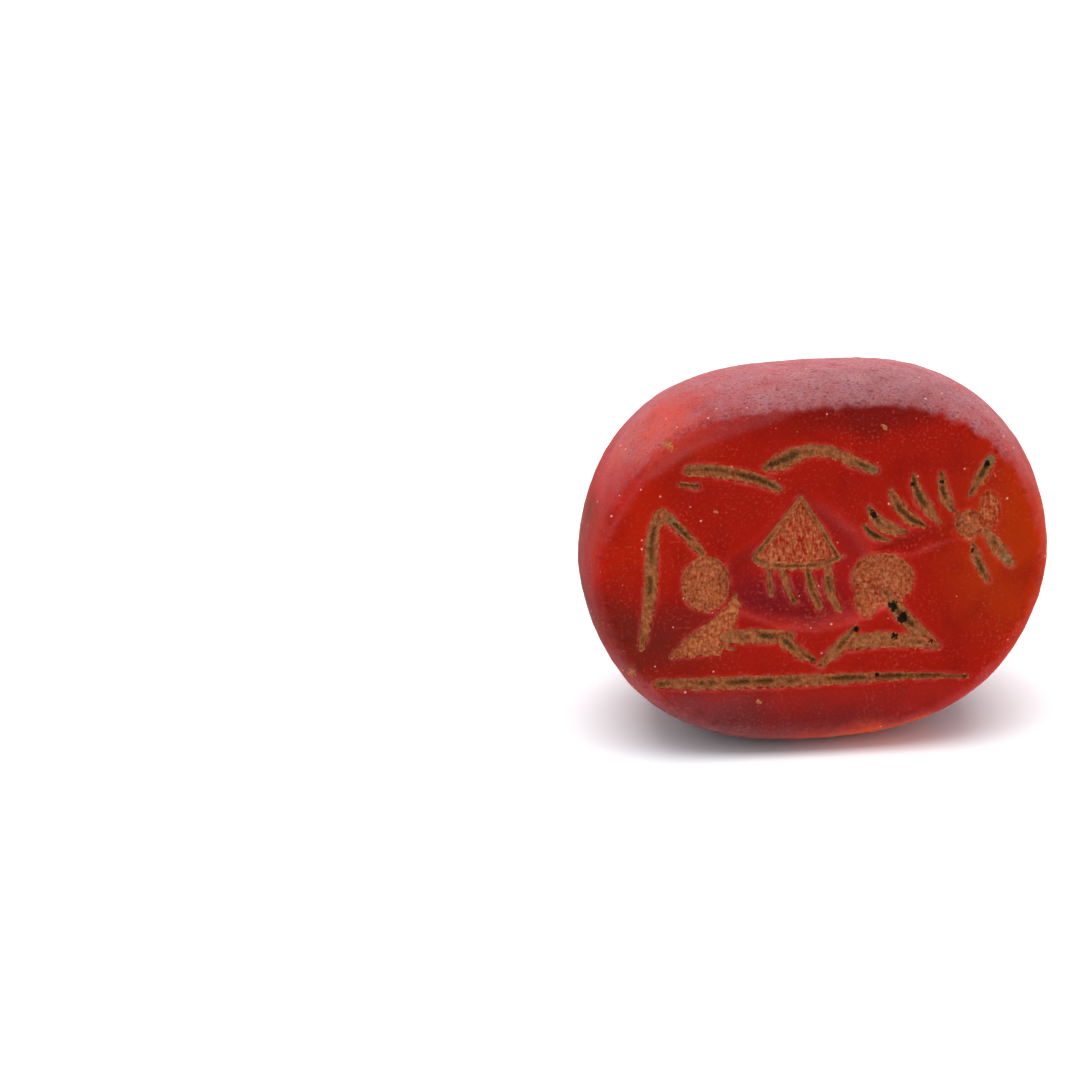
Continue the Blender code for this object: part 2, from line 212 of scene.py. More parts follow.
# Broad polished hollows of the body and of the neck, and how deep they are
BODY_HOLLOW = (
    (-0.75, 3.6), (0.5, 2.65), (1.6, 1.6), (2.2, 0.7), (3.4, -0.2), (3.0, -1.6), (1.2, -2.35), (-0.3, -2.6),
    (-1.8, -2.35), (-3.9, -1.5), (-5.2, -0.6), (-3.9, 0.7), (-2.6, 1.6), (-1.8, 2.5),
)
NECK_HOLLOW = ((1.9, 0.6), (2.9, 1.3), (4.5, 1.85), (6.1, 2.3), (6.2, 1.3), (5.2, 0.95), (3.8, 0.45))
BODY_HOLLOW_DEPTH = 0.36
NECK_HOLLOW_DEPTH = 0.16
HOLLOW_SLOPE = 0.60

# Outline of the polished facet. It ends in a soft ridge on the face's upper left, and
# elsewhere runs out past the edge
POLISHED_FACET = (
    (-9.9, -9.0), (-9.5, 0.6), (-8.7, 2.4), (-7.6, 4.1), (-5.2, 5.65), (-2.0, 6.6), (4.0, 9.0), (12.0, 9.0),
    (12.0, -9.0),
)

# Crumbs of black and dark green mineral left in the cuts: along, up and half width
BLACK_CRUMBS = (
    (3.08, -1.78, 0.2), (3.5, -2.35, 0.24), (2.3, 2.3, 0.17), (3.95, 3.5, 0.12), (5.2, 3.55, 0.1),
    (6.47, 0.5, 0.12), (3.1, -3.1, 0.15), (4.68, -3.4, 0.12), (1.5, -2.72, 0.12), (2.35, -4.8, 0.1),
    (0.9, 0.25, 0.08), (7.15, 4.2, 0.14),
)

# Loose crumbs of earth and fibres on the stone: place in the stone's frame, and half width
EARTH_CRUMBS = (
    ((-6.3, 0.5, 5.6), 0.24), ((-5.85, 0.7, 5.95), 0.11), ((-5.6, 0.4, 5.45), 0.09),
    ((-8.2, 0.0, -4.25), 0.22), ((2.8, 0.0, 6.05), 0.13), ((-2.75, 0.0, -5.7), 0.12),
    ((-4.4, 0.0, 2.7), 0.09), ((5.1, 8.9, 1.0), 0.10), ((7.3, 7.6, -2.2), 0.16), ((7.2, 7.6, -3.0), 0.13),
)

# Crumbs of grey lime and pale fibres on the cuts: along, up and half width
GREY_CRUMBS = (
    (7.35, 4.5, 0.24), (2.35, 4.2, 0.22), (-5.3, 4.85, 0.13), (0.13, 1.7, 0.12), (0.3, 1.5, 0.10),
    (-1.75, 3.75, 0.15), (7.95, 0.1, 0.2), (-6.2, 2.35, 0.12),
)

# Ochre crust on the upper and left edges of the broken mouth, ending in a wedge
MOUTH_CRUST = (
    (-4.55, -1.88, 0.14), (-3.9, -1.5, 0.2), (-3.3, -1.26, 0.24), (-2.5, -1.06, 0.26), (-1.9, -1.06, 0.32),
    (-1.1, -1.24, 0.34), (-0.42, -1.5, 0.4), (-0.45, -2.05, 0.38), (-0.8, -2.5, 0.46), (-1.25, -2.9, 0.82),
    (-1.4, -3.4, 0.5), (-1.43, -3.95, 0.08),
)


def srgb(code: str) -> tuple[float, float, float, float]:
    """Turn an sRGB hex colour into the linear one that a shader takes.

    Args:
        code: six hex digits after a hash sign.

    Returns:
        Linear red, green and blue, and full alpha.
    """
    parts = [int(code[i : i + 2], 16) / 255.0 for i in (1, 3, 5)]
    linear = [c / 12.92 if c <= 0.04045 else ((c + 0.055) / 1.055) ** 2.4 for c in parts]
    return (*linear, 1.0)


def smooth_step(low: float, high: float, value: np.ndarray) -> np.ndarray:
    """Ease each value from 0 at the low end to 1 at the high end.

    Args:
        low: where the result is 0.
        high: where the result is 1.
        value: the numbers to ease.

    Returns:
        Numbers from 0 to 1.
    """
    share = np.clip((value - low) / (high - low), 0.0, 1.0)
    return share * share * (3.0 - 2.0 * share)


def roughness_field(points: np.ndarray, grain: float, offset: float, octaves: int = 3) -> np.ndarray:
    """Sample smooth noise at points.

    Args:
        points: rows of x, y and z in millimetres.
        grain: size of the largest bumps in millimetres.
        offset: shifts the noise, so that two fields differ.
        octaves: how many finer layers are added.

    Returns:
        One number from about -1 to 1 for each point.
    """
    scaled = points / grain + offset
    return np.array([noise.fractal(Vector(row), 0.9, 2.1, octaves) for row in scaled.tolist()])


def in_plane(where: np.ndarray) -> np.ndarray:
    """Turn rows of along and up into rows of x, y and z on a level plane."""
    return np.column_stack((where[:, 0], np.zeros(len(where)), where[:, 1]))


def vertex_places(mesh: bpy.types.Mesh) -> np.ndarray:
    """Return the places of a mesh's vertices, as rows of x, y and z."""
    points = np.zeros(len(mesh.vertices) * 3)
    mesh.vertices.foreach_get("co", points)
    return points.reshape(-1, 3)


def new_object(name: str, shape: bmesh.types.BMesh) -> bpy.types.Object:
    """Put a shape into the scene as an object.

    Args:
        name: the name of the object and its mesh.
        shape: the shape, which is freed.

    Returns:
        The object.
    """
    mesh = bpy.data.meshes.new(name)
    shape.to_mesh(mesh)
    shape.free()
    made = bpy.data.objects.new(name, mesh)
    bpy.context.scene.collection.objects.link(made)
    return made


def rounded_line(line: tuple[Station, ...], rounds: int = 2) -> list[Station]:
    """Round the corners of a stroke's middle line by cutting them, and keep its ends.

    Args:
        line: the stroke's stations.
        rounds: how often the corners are cut.

    Returns:
        More stations, on a smooth line.
    """
    points = [np.array(station) for station in line]
    for _ in range(rounds):
        cut = [points[0]]
        for start, end in zip(points[:-1], points[1:]):
            cut.extend((start * 0.75 + end * 0.25, start * 0.25 + end * 0.75))
        points = [*cut, points[-1]]
    return [tuple(point) for point in points]


def segment_reach(where: np.ndarray, start: np.ndarray, end: np.ndarray) -> tuple[np.ndarray, np.ndarray]:
    """Measure how far points lie from a straight segment.

    Args:
        where: rows of along and up.
        start: the segment's first end.
        end: the segment's last end.

    Returns:
        Distance of each point, and its place along the segment from 0 to 1.
    """
    run = end - start
    share = np.clip((where - start) @ run / max(run @ run, 1e-12), 0.0, 1.0)
    nearest = start + share[:, None] * run
    return np.hypot(*(where - nearest).T), share


def polygon_distance(where: np.ndarray, corners: tuple[Place, ...]) -> np.ndarray:
    """Measure the signed distance from points to a polygon's outline.

    Args:
        where: rows of along and up.
        corners: the polygon's corners in order.

    Returns:
        Distance in millimetres, negative inside.
    """
    distance = np.full(len(where), 1e9)
    inside = np.zeros(len(where), bool)
    for start, end in zip(corners, (*corners[1:], corners[0])):
        first, last = np.array(start), np.array(end)
        distance = np.minimum(distance, segment_reach(where, first, last)[0])
        rises = (first[1] > where[:, 1]) != (last[1] > where[:, 1])
        slope = (last[0] - first[0]) / (last[1] - first[1]) if last[1] != first[1] else 0.0
        inside ^= rises & (where[:, 0] < slope * (where[:, 1] - first[1]) + first[0])
    return np.where(inside, -distance, distance)


def stroke_edge(where: np.ndarray, line: tuple[Station, ...]) -> tuple[np.ndarray, np.ndarray]:
    """Measure the signed distance from points to the edge of a rounded stroke.

    Args:
        where: rows of along and up.
        line: the stroke's stations.

    Returns:
        Distance in millimetres, negative inside, and the stroke's half width there.
    """
    edge = np.full(len(where), FAR)
    half_width = np.full(len(where), 0.1)
    stations = rounded_line(line)
    for start, end in zip(stations[:-1], stations[1:]):
        reach, share = segment_reach(where, np.array(start[:2]), np.array(end[:2]))
        radius = (start[2] + (end[2] - start[2]) * share) / 2.0
        nearer = reach - radius < edge
        edge = np.where(nearer, reach - radius, edge)
        half_width = np.where(nearer, radius, half_width)
    return edge, half_width


@dataclass
class Carving:
    """What the engraver's cuts do at a set of places on the face.

    Attributes:
        edge: signed distance to the nearest cut's edge in millimetres, negative inside.
        own_edge: the same for the cut that was made last at each place.
        seam: distance in millimetres to the nearest edge between two cuts.
        depth: how far the earth-filled cut lies below the face, in millimetres.
        middle: how dark the middle of the cut is, from 0 to 1.
        wear: how far the earth is worn through, from 0 to 1.
        hollow: how deep the body's hollows are, from 0 to 1.
    """

    edge: np.ndarray
    own_edge: np.ndarray
    seam: np.ndarray
    depth: np.ndarray
    middle: np.ndarray
    wear: np.ndarray
    hollow: np.ndarray


@dataclass(frozen=True)
class Engraving:
    """The picture cut into the face, and the earth that fills it."""

    strokes: tuple[Stroke, ...] = STROKES
    bowls: tuple[Bowl, ...] = BOWLS
    panels: tuple[Panel, ...] = PANELS
    edge_grain: float = 0.16
    edge_raggedness: float = 0.030
    fill_grain: float = 0.22
    furrow_share: float = 0.78
    furrow_depth: float = 0.10
    full_width: float = 0.30
    panel_margin: float = 0.04
    panel_slope: float = 0.35

    def carve(self, where: np.ndarray) -> Carving:
        """Work out the cuts at places on the face.

        Args:
            where: rows of along and up, in millimetres.

        Returns:
            The carving at each place.
        """
        count = len(where)
        flat = in_plane(where)
        ragged = roughness_field(flat, self.edge_grain, 3.7) * self.edge_raggedness
        fill = roughness_field(flat, self.fill_grain, 11.3, 4)
        patches = roughness_field(flat, 0.9, 23.1, 2)
        carving = Carving(*np.full((3, count), FAR), *np.zeros((3, count)), self.hollows(where))
        for tool, edge, half_width in self.cuts(where):
            cut = tool.value
            inside = np.clip(-(edge + ragged) / half_width, 0.0, 1.0)
            clean = cut.depth * np.sqrt(1.0 - (1.0 - inside) ** 2)
            clean = clean * np.minimum(half_width / self.full_width, 1.0)
            furrow = np.clip((inside - 1.0 + self.furrow_share) / self.furrow_share, 0.0, 1.0)
            furrow = furrow * cut.dark_middle * np.clip(0.65 + 1.5 * patches, 0.0, 1.0)
            left_open = cut.open_depth * (1.0 + 0.45 * fill) + self.furrow_depth * furrow
            depth = np.minimum(clean, left_open)
            last = (edge < carving.edge) | (edge < 0.0)
            inside_both = np.maximum(np.abs(edge + ragged), np.maximum(carving.edge, 0.0) * 4.0)
            carving.seam = np.minimum(np.where(edge < -0.05, FAR, carving.seam), inside_both)
            carving.edge = np.minimum(edge, carving.edge)
            carving.own_edge = np.where(last, edge, carving.own_edge)
            carving.wear = np.where(last, cut.wear, carving.wear)
            carving.middle = np.where(last, furrow, carving.middle)
            carving.depth = np.maximum(carving.depth, depth)
        return carving

    def cuts(self, where: np.ndarray) -> list[tuple[Tool, np.ndarray, np.ndarray]]:
        """Measure every cut at places on the face.

        Args:
            where: rows of along and up, in millimetres.

        Returns:
            For each cut its tool, the signed distance to its edge and its half width there.
        """
        found = []
        for panel in self.panels:
            edge = polygon_distance(where, panel.corners) - self.panel_margin
            found.append((panel.tool, edge, np.full(len(where), self.panel_slope)))
        for bowl in self.bowls:
            half_sizes = np.array(bowl.half_sizes)
            offset = where - np.array(bowl.centre)
            share = np.hypot(*(offset / half_sizes).T)
            slope = np.hypot(*(offset / half_sizes**2).T) / np.maximum(share, 1e-6)
            edge = (share - 1.0) / np.maximum(slope, 0.2)
            found.append((bowl.tool, edge, np.full(len(where), float(half_sizes.min()))))
        for stroke in self.strokes:
            found.append((stroke.tool, *stroke_edge(where, stroke.line)))
        return found

    def hollows(self, where: np.ndarray) -> np.ndarray:
        """Return how deep the polished hollows of the body are, as shares of the deepest."""
        body = smooth_step(0.12, -HOLLOW_SLOPE, polygon_distance(where, BODY_HOLLOW))
        neck = smooth_step(0.12, -HOLLOW_SLOPE, polygon_distance(where, NECK_HOLLOW))
        return np.maximum(body, neck * NECK_HOLLOW_DEPTH / BODY_HOLLOW_DEPTH)


@dataclass(frozen=True)
class BrokenMouth:
    """The broken-out mouth of the perforation in the domed back, in millimetres."""

    corners: tuple[Place, ...] = (
        (-0.25, -1.35), (-1.05, -1.12), (-2.2, -0.95), (-3.4, -1.25), (-4.6, -1.85), (-4.3, -2.7),
        (-3.65, -3.45), (-2.6, -3.75), (-1.55, -3.95), (-0.95, -3.0), (-0.35, -2.1),
    )
    crust: tuple[Station, ...] = MOUTH_CRUST
    deepest: Place = (-1.9, -1.9)
    depth: float = 2.3
    shallow_depth: float = 0.8
    wall: float = 0.36
    low_wall: float = 1.5
    crust_fill: float = 0.78
    flake_share: float = 0.16
    # Middle and reach of the painted shade in the pocket
    dark_middle: Place = (-2.45, -2.05)
    dark_reach: Place = (2.5, 1.9)

    def edge(self, where: np.ndarray) -> np.ndarray:
        """Return the signed distance from places on the back to the mouth's edge, negative inside."""
        return polygon_distance(where, self.corners)

    def sink(self, where: np.ndarray) -> np.ndarray:
        """Work out how far the broken pocket lies below the dome.

        Args:
            where: rows of along and up, in millimetres.

        Returns:
            Depth in millimetres, 0 outside the mouth.
        """
        inside = np.clip(-self.edge(where), 0.0, None)
        from_deepest = np.hypot(*(where - np.array(self.deepest)).T)
        floor = self.shallow_depth + (self.depth - self.shallow_depth) * smooth_step(2.0, 0.3, from_deepest)
        low = smooth_step(-2.3, -3.3, where[:, 1]) * smooth_step(-1.2, -2.2, where[:, 0])
        wall_width = self.wall + (self.low_wall - self.wall) * low
        wall = 1.0 - (1.0 - np.clip(inside / wall_width, 0.0, 1.0)) ** 2
        wall = wall * (1.0 - self.crust_fill * smooth_step(0.02, -0.12, stroke_edge(where, self.crust)[0]))
        flat = in_plane(where)
        flakes = roughness_field(flat, 0.55, 5.9)
        return floor * wall * (1.0 + self.flake_share * flakes)

    def painted_shade(self, where: np.ndarray) -> np.ndarray:
        """Return how much painted shade lies in the pocket, fading to the lower right, from 0 to 1."""
        away = (where - np.array(self.dark_middle)) / np.array(self.dark_reach)
        return smooth_step(1.0, 0.45, np.hypot(*away.T)) * smooth_step(0.05, -0.25, self.edge(where))


@dataclass(frozen=True)
class StoneForm:
    """The ground and polished body of the stone, as the solid has it, in millimetres."""

    length: float = 20.0
    height: float = 16.0
    thickness: float = 11.6
    girdle_depth: float = 3.5
    end_margin: float = 0.45
    side_margin: float = 0.85
    fullness_above: float = 1.94
    fullness_below: float = 1.79
    skew: float = 0.016
    corner_swell: float = 0.039
    shoulder_rounding: float = 3.0
    dome_fullness: float = 2.8
    dome_taper: float = 0.04
    lean: float = math.radians(8.0)
    face_centre: Vector = field(default_factory=lambda: Vector((0.0, -5.3573, 8.2538)))
    rim_rounding: float = 0.42

    def reach(self, bearing: np.ndarray, half_length: np.ndarray, half_height: np.ndarray) -> np.ndarray:
        """Return how far the hand-ground outline lies from its middle at a bearing.

        Args:
            bearing: angles from the length's end, turning up the face.
            half_length: half length of each section.
            half_height: half height of each section.

        Returns:
            Distances in millimetres.
        """
        fullness = np.where(np.sin(bearing) > 0.0, self.fullness_above, self.fullness_below)
        along = np.abs(np.cos(bearing)) / half_length
        up = np.abs(np.sin(bearing)) / half_height
        plain = (along**fullness + up**fullness) ** (-1.0 / fullness)
        skewed = self.skew * np.sin(2.0 * bearing)
        cornered = self.corner_swell * (1.0 - np.cos(4.0 * bearing))
        return plain * (1.0 + skewed + cornered)

    def dome_share(self, run_back: np.ndarray) -> np.ndarray:
        """Return the section's share of the girdle's size part of the way back over the dome."""
        swell = (1.0 - run_back**self.dome_fullness) ** (1.0 / self.dome_fullness)
        return swell * (1.0 - self.dome_taper * run_back)

    def section(self, depth: np.ndarray) -> tuple[np.ndarray, np.ndarray]:
        """Work out the section at depths behind the face.

        Args:
            depth: depths in millimetres.

        Returns:
            Half lengths and half heights in millimetres.
        """
        inset = np.clip(1.0 - depth / self.girdle_depth, 0.0, 1.0) ** self.shoulder_rounding
        run_back = np.clip((depth - self.girdle_depth) / (self.thickness - self.girdle_depth), 0.0, 1.0)
        share = self.dome_share(run_back)
        half_length = (self.length / 2.0 - self.end_margin * inset) * share
        half_height = (self.height / 2.0 - self.side_margin * inset) * share
        return half_length, half_height

    def depth_of_share(self, share: np.ndarray) -> np.ndarray:
        """Return the depth at which the dome has shrunk to a share of the girdle's size."""
        run_back = np.linspace(1.0, 0.0, 800) ** 0.5
        depth = self.girdle_depth + (self.thickness - self.girdle_depth) * run_back
        return np.interp(share, self.dome_share(run_back), depth)

    def placed(self) -> Matrix:
        """Return the matrix that takes the stone's own frame, in millimetres, to where it stands."""
        lean = Matrix.Rotation(-self.lean, 4, "X")
        return Matrix.Translation(self.face_centre * MM) @ lean @ Matrix.Scale(MM, 4)


@dataclass(frozen=True)
class ColourZone:
    """A soft cloud of colour, either the stone's own or painted light and shade: centre and radii in the
    stone's frame, in millimetres.
    """

    centre: tuple[float, float, float]
    radii: tuple[float, float, float]
    colour: str
    strength: float


# The stone's clouds, with painted glow, highlight, shade and reflection among them, in the order they are
# laid over each other
STONE_CLOUDS_AND_PAINTED_LIGHT = (
    # Deep red middle of the back, a painted salmon highlight high on it, and a painted orange-red glow below
    ColourZone((-1.0, 11.6, 2.0), (9.5, 6.5, 7.0), "#963020", 0.9),
    ColourZone((-4.4, 11.0, 4.2), (4.6, 4.0, 3.4), "#b23a26", 0.85),
    ColourZone((4.0, 11.0, -3.0), (7.5, 5.0, 2.6), "#7a1400", 0.95),
    ColourZone((-6.6, 10.0, -2.4), (3.6, 5.0, 2.8), "#760a00", 0.95),
    # Clear orange ends, where light comes through the thinner stone
    ColourZone((-8.4, 0.5, 2.3), (3.0, 4.5, 4.0), "#a21800", 0.9),
    ColourZone((9.0, 0.5, 0.6), (5.4, 4.5, 6.6), "#9c2800", 0.9),
    ColourZone((-9.4, 8.0, 2.0), (2.6, 4.5, 4.0), "#861c00", 0.95),
    ColourZone((9.3, 8.5, 1.5), (3.2, 4.5, 6.0), "#761c00", 0.95),
    ColourZone((-7.2, 1.5, 6.2), (3.8, 3.5, 2.6), "#b83a20", 0.7),
    # Painted shade low on the left end, and on the left side at mid height
    ColourZone((-9.9, 4.0, -2.5), (3.0, 6.5, 4.8), "#3a1616", 0.95),
    ColourZone((-10.0, 3.0, 2.6), (2.0, 4.5, 3.2), "#681a0a", 0.9),
    # A greyish purple cloud along the upper edge at the right
    ColourZone((4.0, 1.5, 7.8), (8.0, 3.5, 1.8), "#5c262c", 0.8),
    # A painted dark reflection in deep red under the upper edge, and painted shade at the lower left, where
    # the pocket in the back shows through below the cloth, and along the bottom
    ColourZone((2.0, 0.0, 6.9), (6.5, 1.6, 1.3), "#6a0e08", 0.8),
    ColourZone((-8.0, 0.8, -2.9), (5.4, 4.5, 3.1), "#66190f", 0.95),
    ColourZone((-5.2, 0.5, -1.3), (2.4, 3.0, 1.5), "#701410", 0.7),
    ColourZone((-1.2, 0.5, -1.3), (3.4, 3.0, 1.5), "#6a1018", 0.8),
    ColourZone((-1.5, 0.5, -7.0), (10.0, 3.5, 2.3), "#6a1412", 0.9),
    ColourZone((-6.0, 2.0, -6.8), (6.0, 5.0, 2.9), "#481e1e", 0.85),
    # Light through the underside, at the right of the foot
    ColourZone((3.4, 1.8, -7.7), (7.0, 2.8, 1.7), "#e04600", 1.0),
    # An inclusion in the back
    ColourZone((5.3, 10.2, -1.6), (0.30, 1.5, 0.22), "#3a1410", 0.95),
    # A greyish brown cloud high on the back
    ColourZone((4.8, 9.2, 5.9), (4.4, 5.0, 3.0), "#6a4038", 0.7),
    # Painted shade and a painted veil of the floor's reflection low on the back
    ColourZone((-2.0, 9.0, -6.4), (9.0, 4.5, 2.4), "#5e2a26", 0.7),
)


@dataclass(frozen=True)
class StoneCloudsAndPaintedLight:
    """The colour of the bare stone: red, with soft clouds of light and dark minerals, painted glow,
    highlight and shade among them, and painted shade in the body's hollows.
    """

    body: str = "#931204"
    # Painted shade in the body's hollows: its colour and how strongly it covers
    hollow_painted_shade: str = "#8e1214"
    hollow_shade_share: float = 0.5
    zones: tuple[ColourZone, ...] = STONE_CLOUDS_AND_PAINTED_LIGHT
    drift_grain: float = 2.4
    drift: float = 0.75

    def tint(self, points: np.ndarray, hollow: np.ndarray) -> np.ndarray:
        """Work out the bare stone's colour, with its painted glow, highlight and shade.

        Args:
            points: places on the stone, in its own frame.
            hollow: how deep the body's hollows are there, from 0 to 1.

        Returns:
            Rows of linear red, green and blue.
        """
        drifted = points.copy()
        for axis, offset in ((0, 91.0), (2, 113.0)):
            drifted[:, axis] += roughness_field(points, self.drift_grain, offset) * self.drift
        colour = np.tile(np.array(srgb(self.body)[:3]), (len(points), 1))
        # Painted shade in the body's hollows
        share = self.hollow_shade_share * smooth_step(0.0, 0.8, hollow)[:, None]
        colour += share * (np.array(srgb(self.hollow_painted_shade)[:3]) - colour)
        for zone in self.zones:
            away = np.linalg.norm((drifted - np.array(zone.centre)) / np.array(zone.radii), axis=1)
            share = zone.strength * smooth_step(1.0, 0.2, away)[:, None]
            colour += share * (np.array(srgb(zone.colour)[:3]) - colour)
        return colour


@dataclass
class SealStone:
    """The stone itself: ground to shape, engraved, drilled, broken and worn."""

    form: StoneForm = field(default_factory=StoneForm)
    engraving: Engraving = field(default_factory=Engraving)
    mouth: BrokenMouth = field(default_factory=BrokenMouth)
    # The stone's colour clouds, with painted glow, highlight and shade among them
    clouds: StoneCloudsAndPaintedLight = field(default_factory=StoneCloudsAndPaintedLight)
    cells_along: int = 166
    cells_up: int = 124
    cells_back: int = 34
    back_share: float = 0.80
    fine_margin: float = 0.30
    bore_diameter: float = 1.8
    bore_end: Vector = field(default_factory=lambda: Vector((-9.55, 6.8, -0.3)))
    bore_inner: Vector = field(default_factory=lambda: Vector((-2.4, 9.9, -2.3)))
    end_chip_centre: Vector = field(default_factory=lambda: Vector((-9.6, 6.8, -0.3)))
    end_chip_radius: float = 1.9
    end_chip_depth: float = 0.3
    face_wave_depth: float = 0.030
    face_grain_depth: float = 0.006
    body_wave_depth: float = 0.055
    body_grain_depth: float = 0.026
    lip_width: float = 0.07
    lip_height: float = 0.018
    facet_fall: float = 0.16
    rim_chip_depth: float = 0.16
    marked_face_depth: float = 1.6
    marked_back_depth: float = 5.5
    marked_back_reach: float = 8.8

    def build(self) -> bpy.types.Object:
        """Build the stone's mesh and set it down.

        Returns:
            The finished object, without its material.
        """
        shape = self.block()
        self.refine(shape)
        self.shape_surface(shape)
        stone = new_object("seal_stone_engraved", shape)
        self.drill(stone)
        self.mark(stone.data)
        stone.data.transform(self.form.placed())
        self.stand(stone.data)
        stone.data.shade_smooth()
        stone.data.update()
        return stone

    def block(self) -> bmesh.types.BMesh:
        """Cut a cube into the cells that become the face, the sides and the back.

        Returns:
            A cube from -1 to 1 with square cells.
        """
        shape = bmesh.new()
        bmesh.ops.create_cube(shape, size=2.0)
        for axis, cells in enumerate((self.cells_along, self.cells_back, self.cells_up)):
            edges = [
                edge
                for edge in shape.edges
                if abs(edge.verts[0].co[axis] - edge.verts[1].co[axis]) > 1e-4
            ]
            bmesh.ops.subdivide_edges(shape, edges=edges, cuts=cells - 1, use_grid_fill=True)
        return shape

    def square_to_disc(self, points: np.ndarray) -> tuple[np.ndarray, np.ndarray]:
        """Round the cube's square face into a disc.

        Args:
            points: rows of the cube's x, y and z.

        Returns:
            Bearing on the stone, and distance from the middle as a share of the outline's.
        """
        along = points[:, 0] * np.sqrt(1.0 - points[:, 2] ** 2 / 2.0)
        up = points[:, 2] * np.sqrt(1.0 - points[:, 0] ** 2 / 2.0)
        bearing = np.arctan2(up * self.form.height, along * self.form.length)
        return bearing, np.minimum(np.hypot(along, up), 1.0)

    def on_face(self, points: np.ndarray) -> np.ndarray:
        """Turn the cube's coordinates into places on the plane of the face, in millimetres."""
        bearing, share = self.square_to_disc(points)
        half_length, half_height = self.form.section(np.zeros(len(points)))
        reach = self.form.reach(bearing, half_length, half_height) * share
        return np.column_stack((reach * np.cos(bearing), reach * np.sin(bearing)))

    def refine(self, shape: bmesh.types.BMesh) -> None:
        """Halve the cells near the cuts of the face and near the mouth in the back."""
        shape.verts.ensure_lookup_table()
        points = np.array([vert.co[:] for vert in shape.verts])
        where = self.on_face(points)
        cut_edge = np.full(len(points), FAR)
        for tool, edge, half_width in self.engraving.cuts(where):
            cut_edge = np.minimum(cut_edge, edge)
        front = (points[:, 1] < ON_SIDE - 1.0) & (cut_edge < self.fine_margin)
        mouth_edge = self.mouth.edge(where * self.back_scale())
        behind = (points[:, 1] > 1.0 - ON_SIDE) & (mouth_edge < self.fine_margin)
        fine = front | behind
        edges = [edge for edge in shape.edges if fine[edge.verts[0].index] and fine[edge.verts[1].index]]
        bmesh.ops.subdivide_edges(shape, edges=edges, cuts=1, use_grid_fill=True)

    def back_scale(self) -> float:
        """Return how much larger the back's disc is than the face's."""
        return self.back_share * (self.form.height / 2.0) / (self.form.height / 2.0 - self.form.side_margin)

    def shape_surface(self, shape: bmesh.types.BMesh) -> None:
        """Move every vertex to its place on the stone's surface, in its own frame."""
        shape.verts.ensure_lookup_table()
        cube = np.array([vert.co[:] for vert in shape.verts])
        bearing, share = self.square_to_disc(cube)
        run = (cube[:, 1] + 1.0) / 2.0
        front = run < ON_SIDE
        behind = run > 1.0 - ON_SIDE
        last_depth = float(self.form.depth_of_share(np.array([self.back_share]))[0])
        depth = np.where(behind, self.form.depth_of_share(self.back_share * share), run * last_depth)
        depth = np.where(front, 0.0, depth)
        half_length, half_height = self.form.section(depth)
        reach = self.form.reach(bearing, half_length, half_height) * np.where(front, share, 1.0)
        reach, depth = self.rounded_rim(bearing, reach, depth, front)
        points = np.column_stack((reach * np.cos(bearing), depth, reach * np.sin(bearing)))
        self.carve_face(points, front)
        self.wear_body(points, front)
        self.break_back(points, behind)
        for vert, place in zip(shape.verts, points.tolist()):
            vert.co = place

    def rounded_rim(
        self, bearing: np.ndarray, reach: np.ndarray, depth: np.ndarray, front: np.ndarray
    ) -> tuple[np.ndarray, np.ndarray]:
        """Round the corner between the face and the sides.

        Args:
            bearing: angle of each vertex round the face.
            reach: its distance from the middle.
            depth: its depth behind the face.
            front: whether it is on the face.

        Returns:
            Rounded distances and depths.
        """
        zero = np.zeros(len(bearing))
        rim = self.form.reach(bearing, *self.form.section(zero))
        size = self.form.rim_rounding * (1.25 - 0.75 * np.clip(np.sin(bearing), 0.0, 1.0) ** 2)
        side_depth = size * 0.8
        side_reach = self.form.reach(bearing, *self.form.section(side_depth))
        inward = rim - reach
        turn = np.where(front, 0.5 - inward / size / 2.0, 0.5 + depth / side_depth / 2.0)
        near = (turn > 0.0) & (turn < 1.0)
        turn = np.clip(turn, 0.0, 1.0)
        new_reach = (1.0 - turn) ** 2 * (rim - size) + 2.0 * turn * (1.0 - turn) * rim + turn**2 * side_reach
        new_depth = turn**2 * side_depth
        return np.where(near, new_reach, reach), np.where(near, new_depth, depth)

    def carve_face(self, points: np.ndarray, front: np.ndarray) -> None:
        """Sink the engraving, the hollows and the soft facet edge into the face."""
        where = points[front][:, (0, 2)]
        carving = self.engraving.carve(where)
        flat = in_plane(where)
        waves = roughness_field(flat, 3.2, 41.0, 2) * self.face_wave_depth
        waves = waves + roughness_field(flat, 0.8, 17.0, 2) * self.face_grain_depth
        facet = np.clip(polygon_distance(where, POLISHED_FACET), 0.0, None)
        chips = np.clip(roughness_field(flat, 0.35, 71.0), 0.0, 1.0)
        chips = chips * smooth_step(0.75, 0.25, self.face_edge(where))
        lip = np.exp(-(((carving.edge - self.lip_width) / self.lip_width) ** 2)) * self.lip_height
        sink = carving.depth + carving.hollow * BODY_HOLLOW_DEPTH + waves - lip
        sink = sink + self.facet_fall * facet * facet / (facet + 0.5) + self.rim_chip_depth * chips
        points[front, 1] += np.maximum(sink, 0.0)

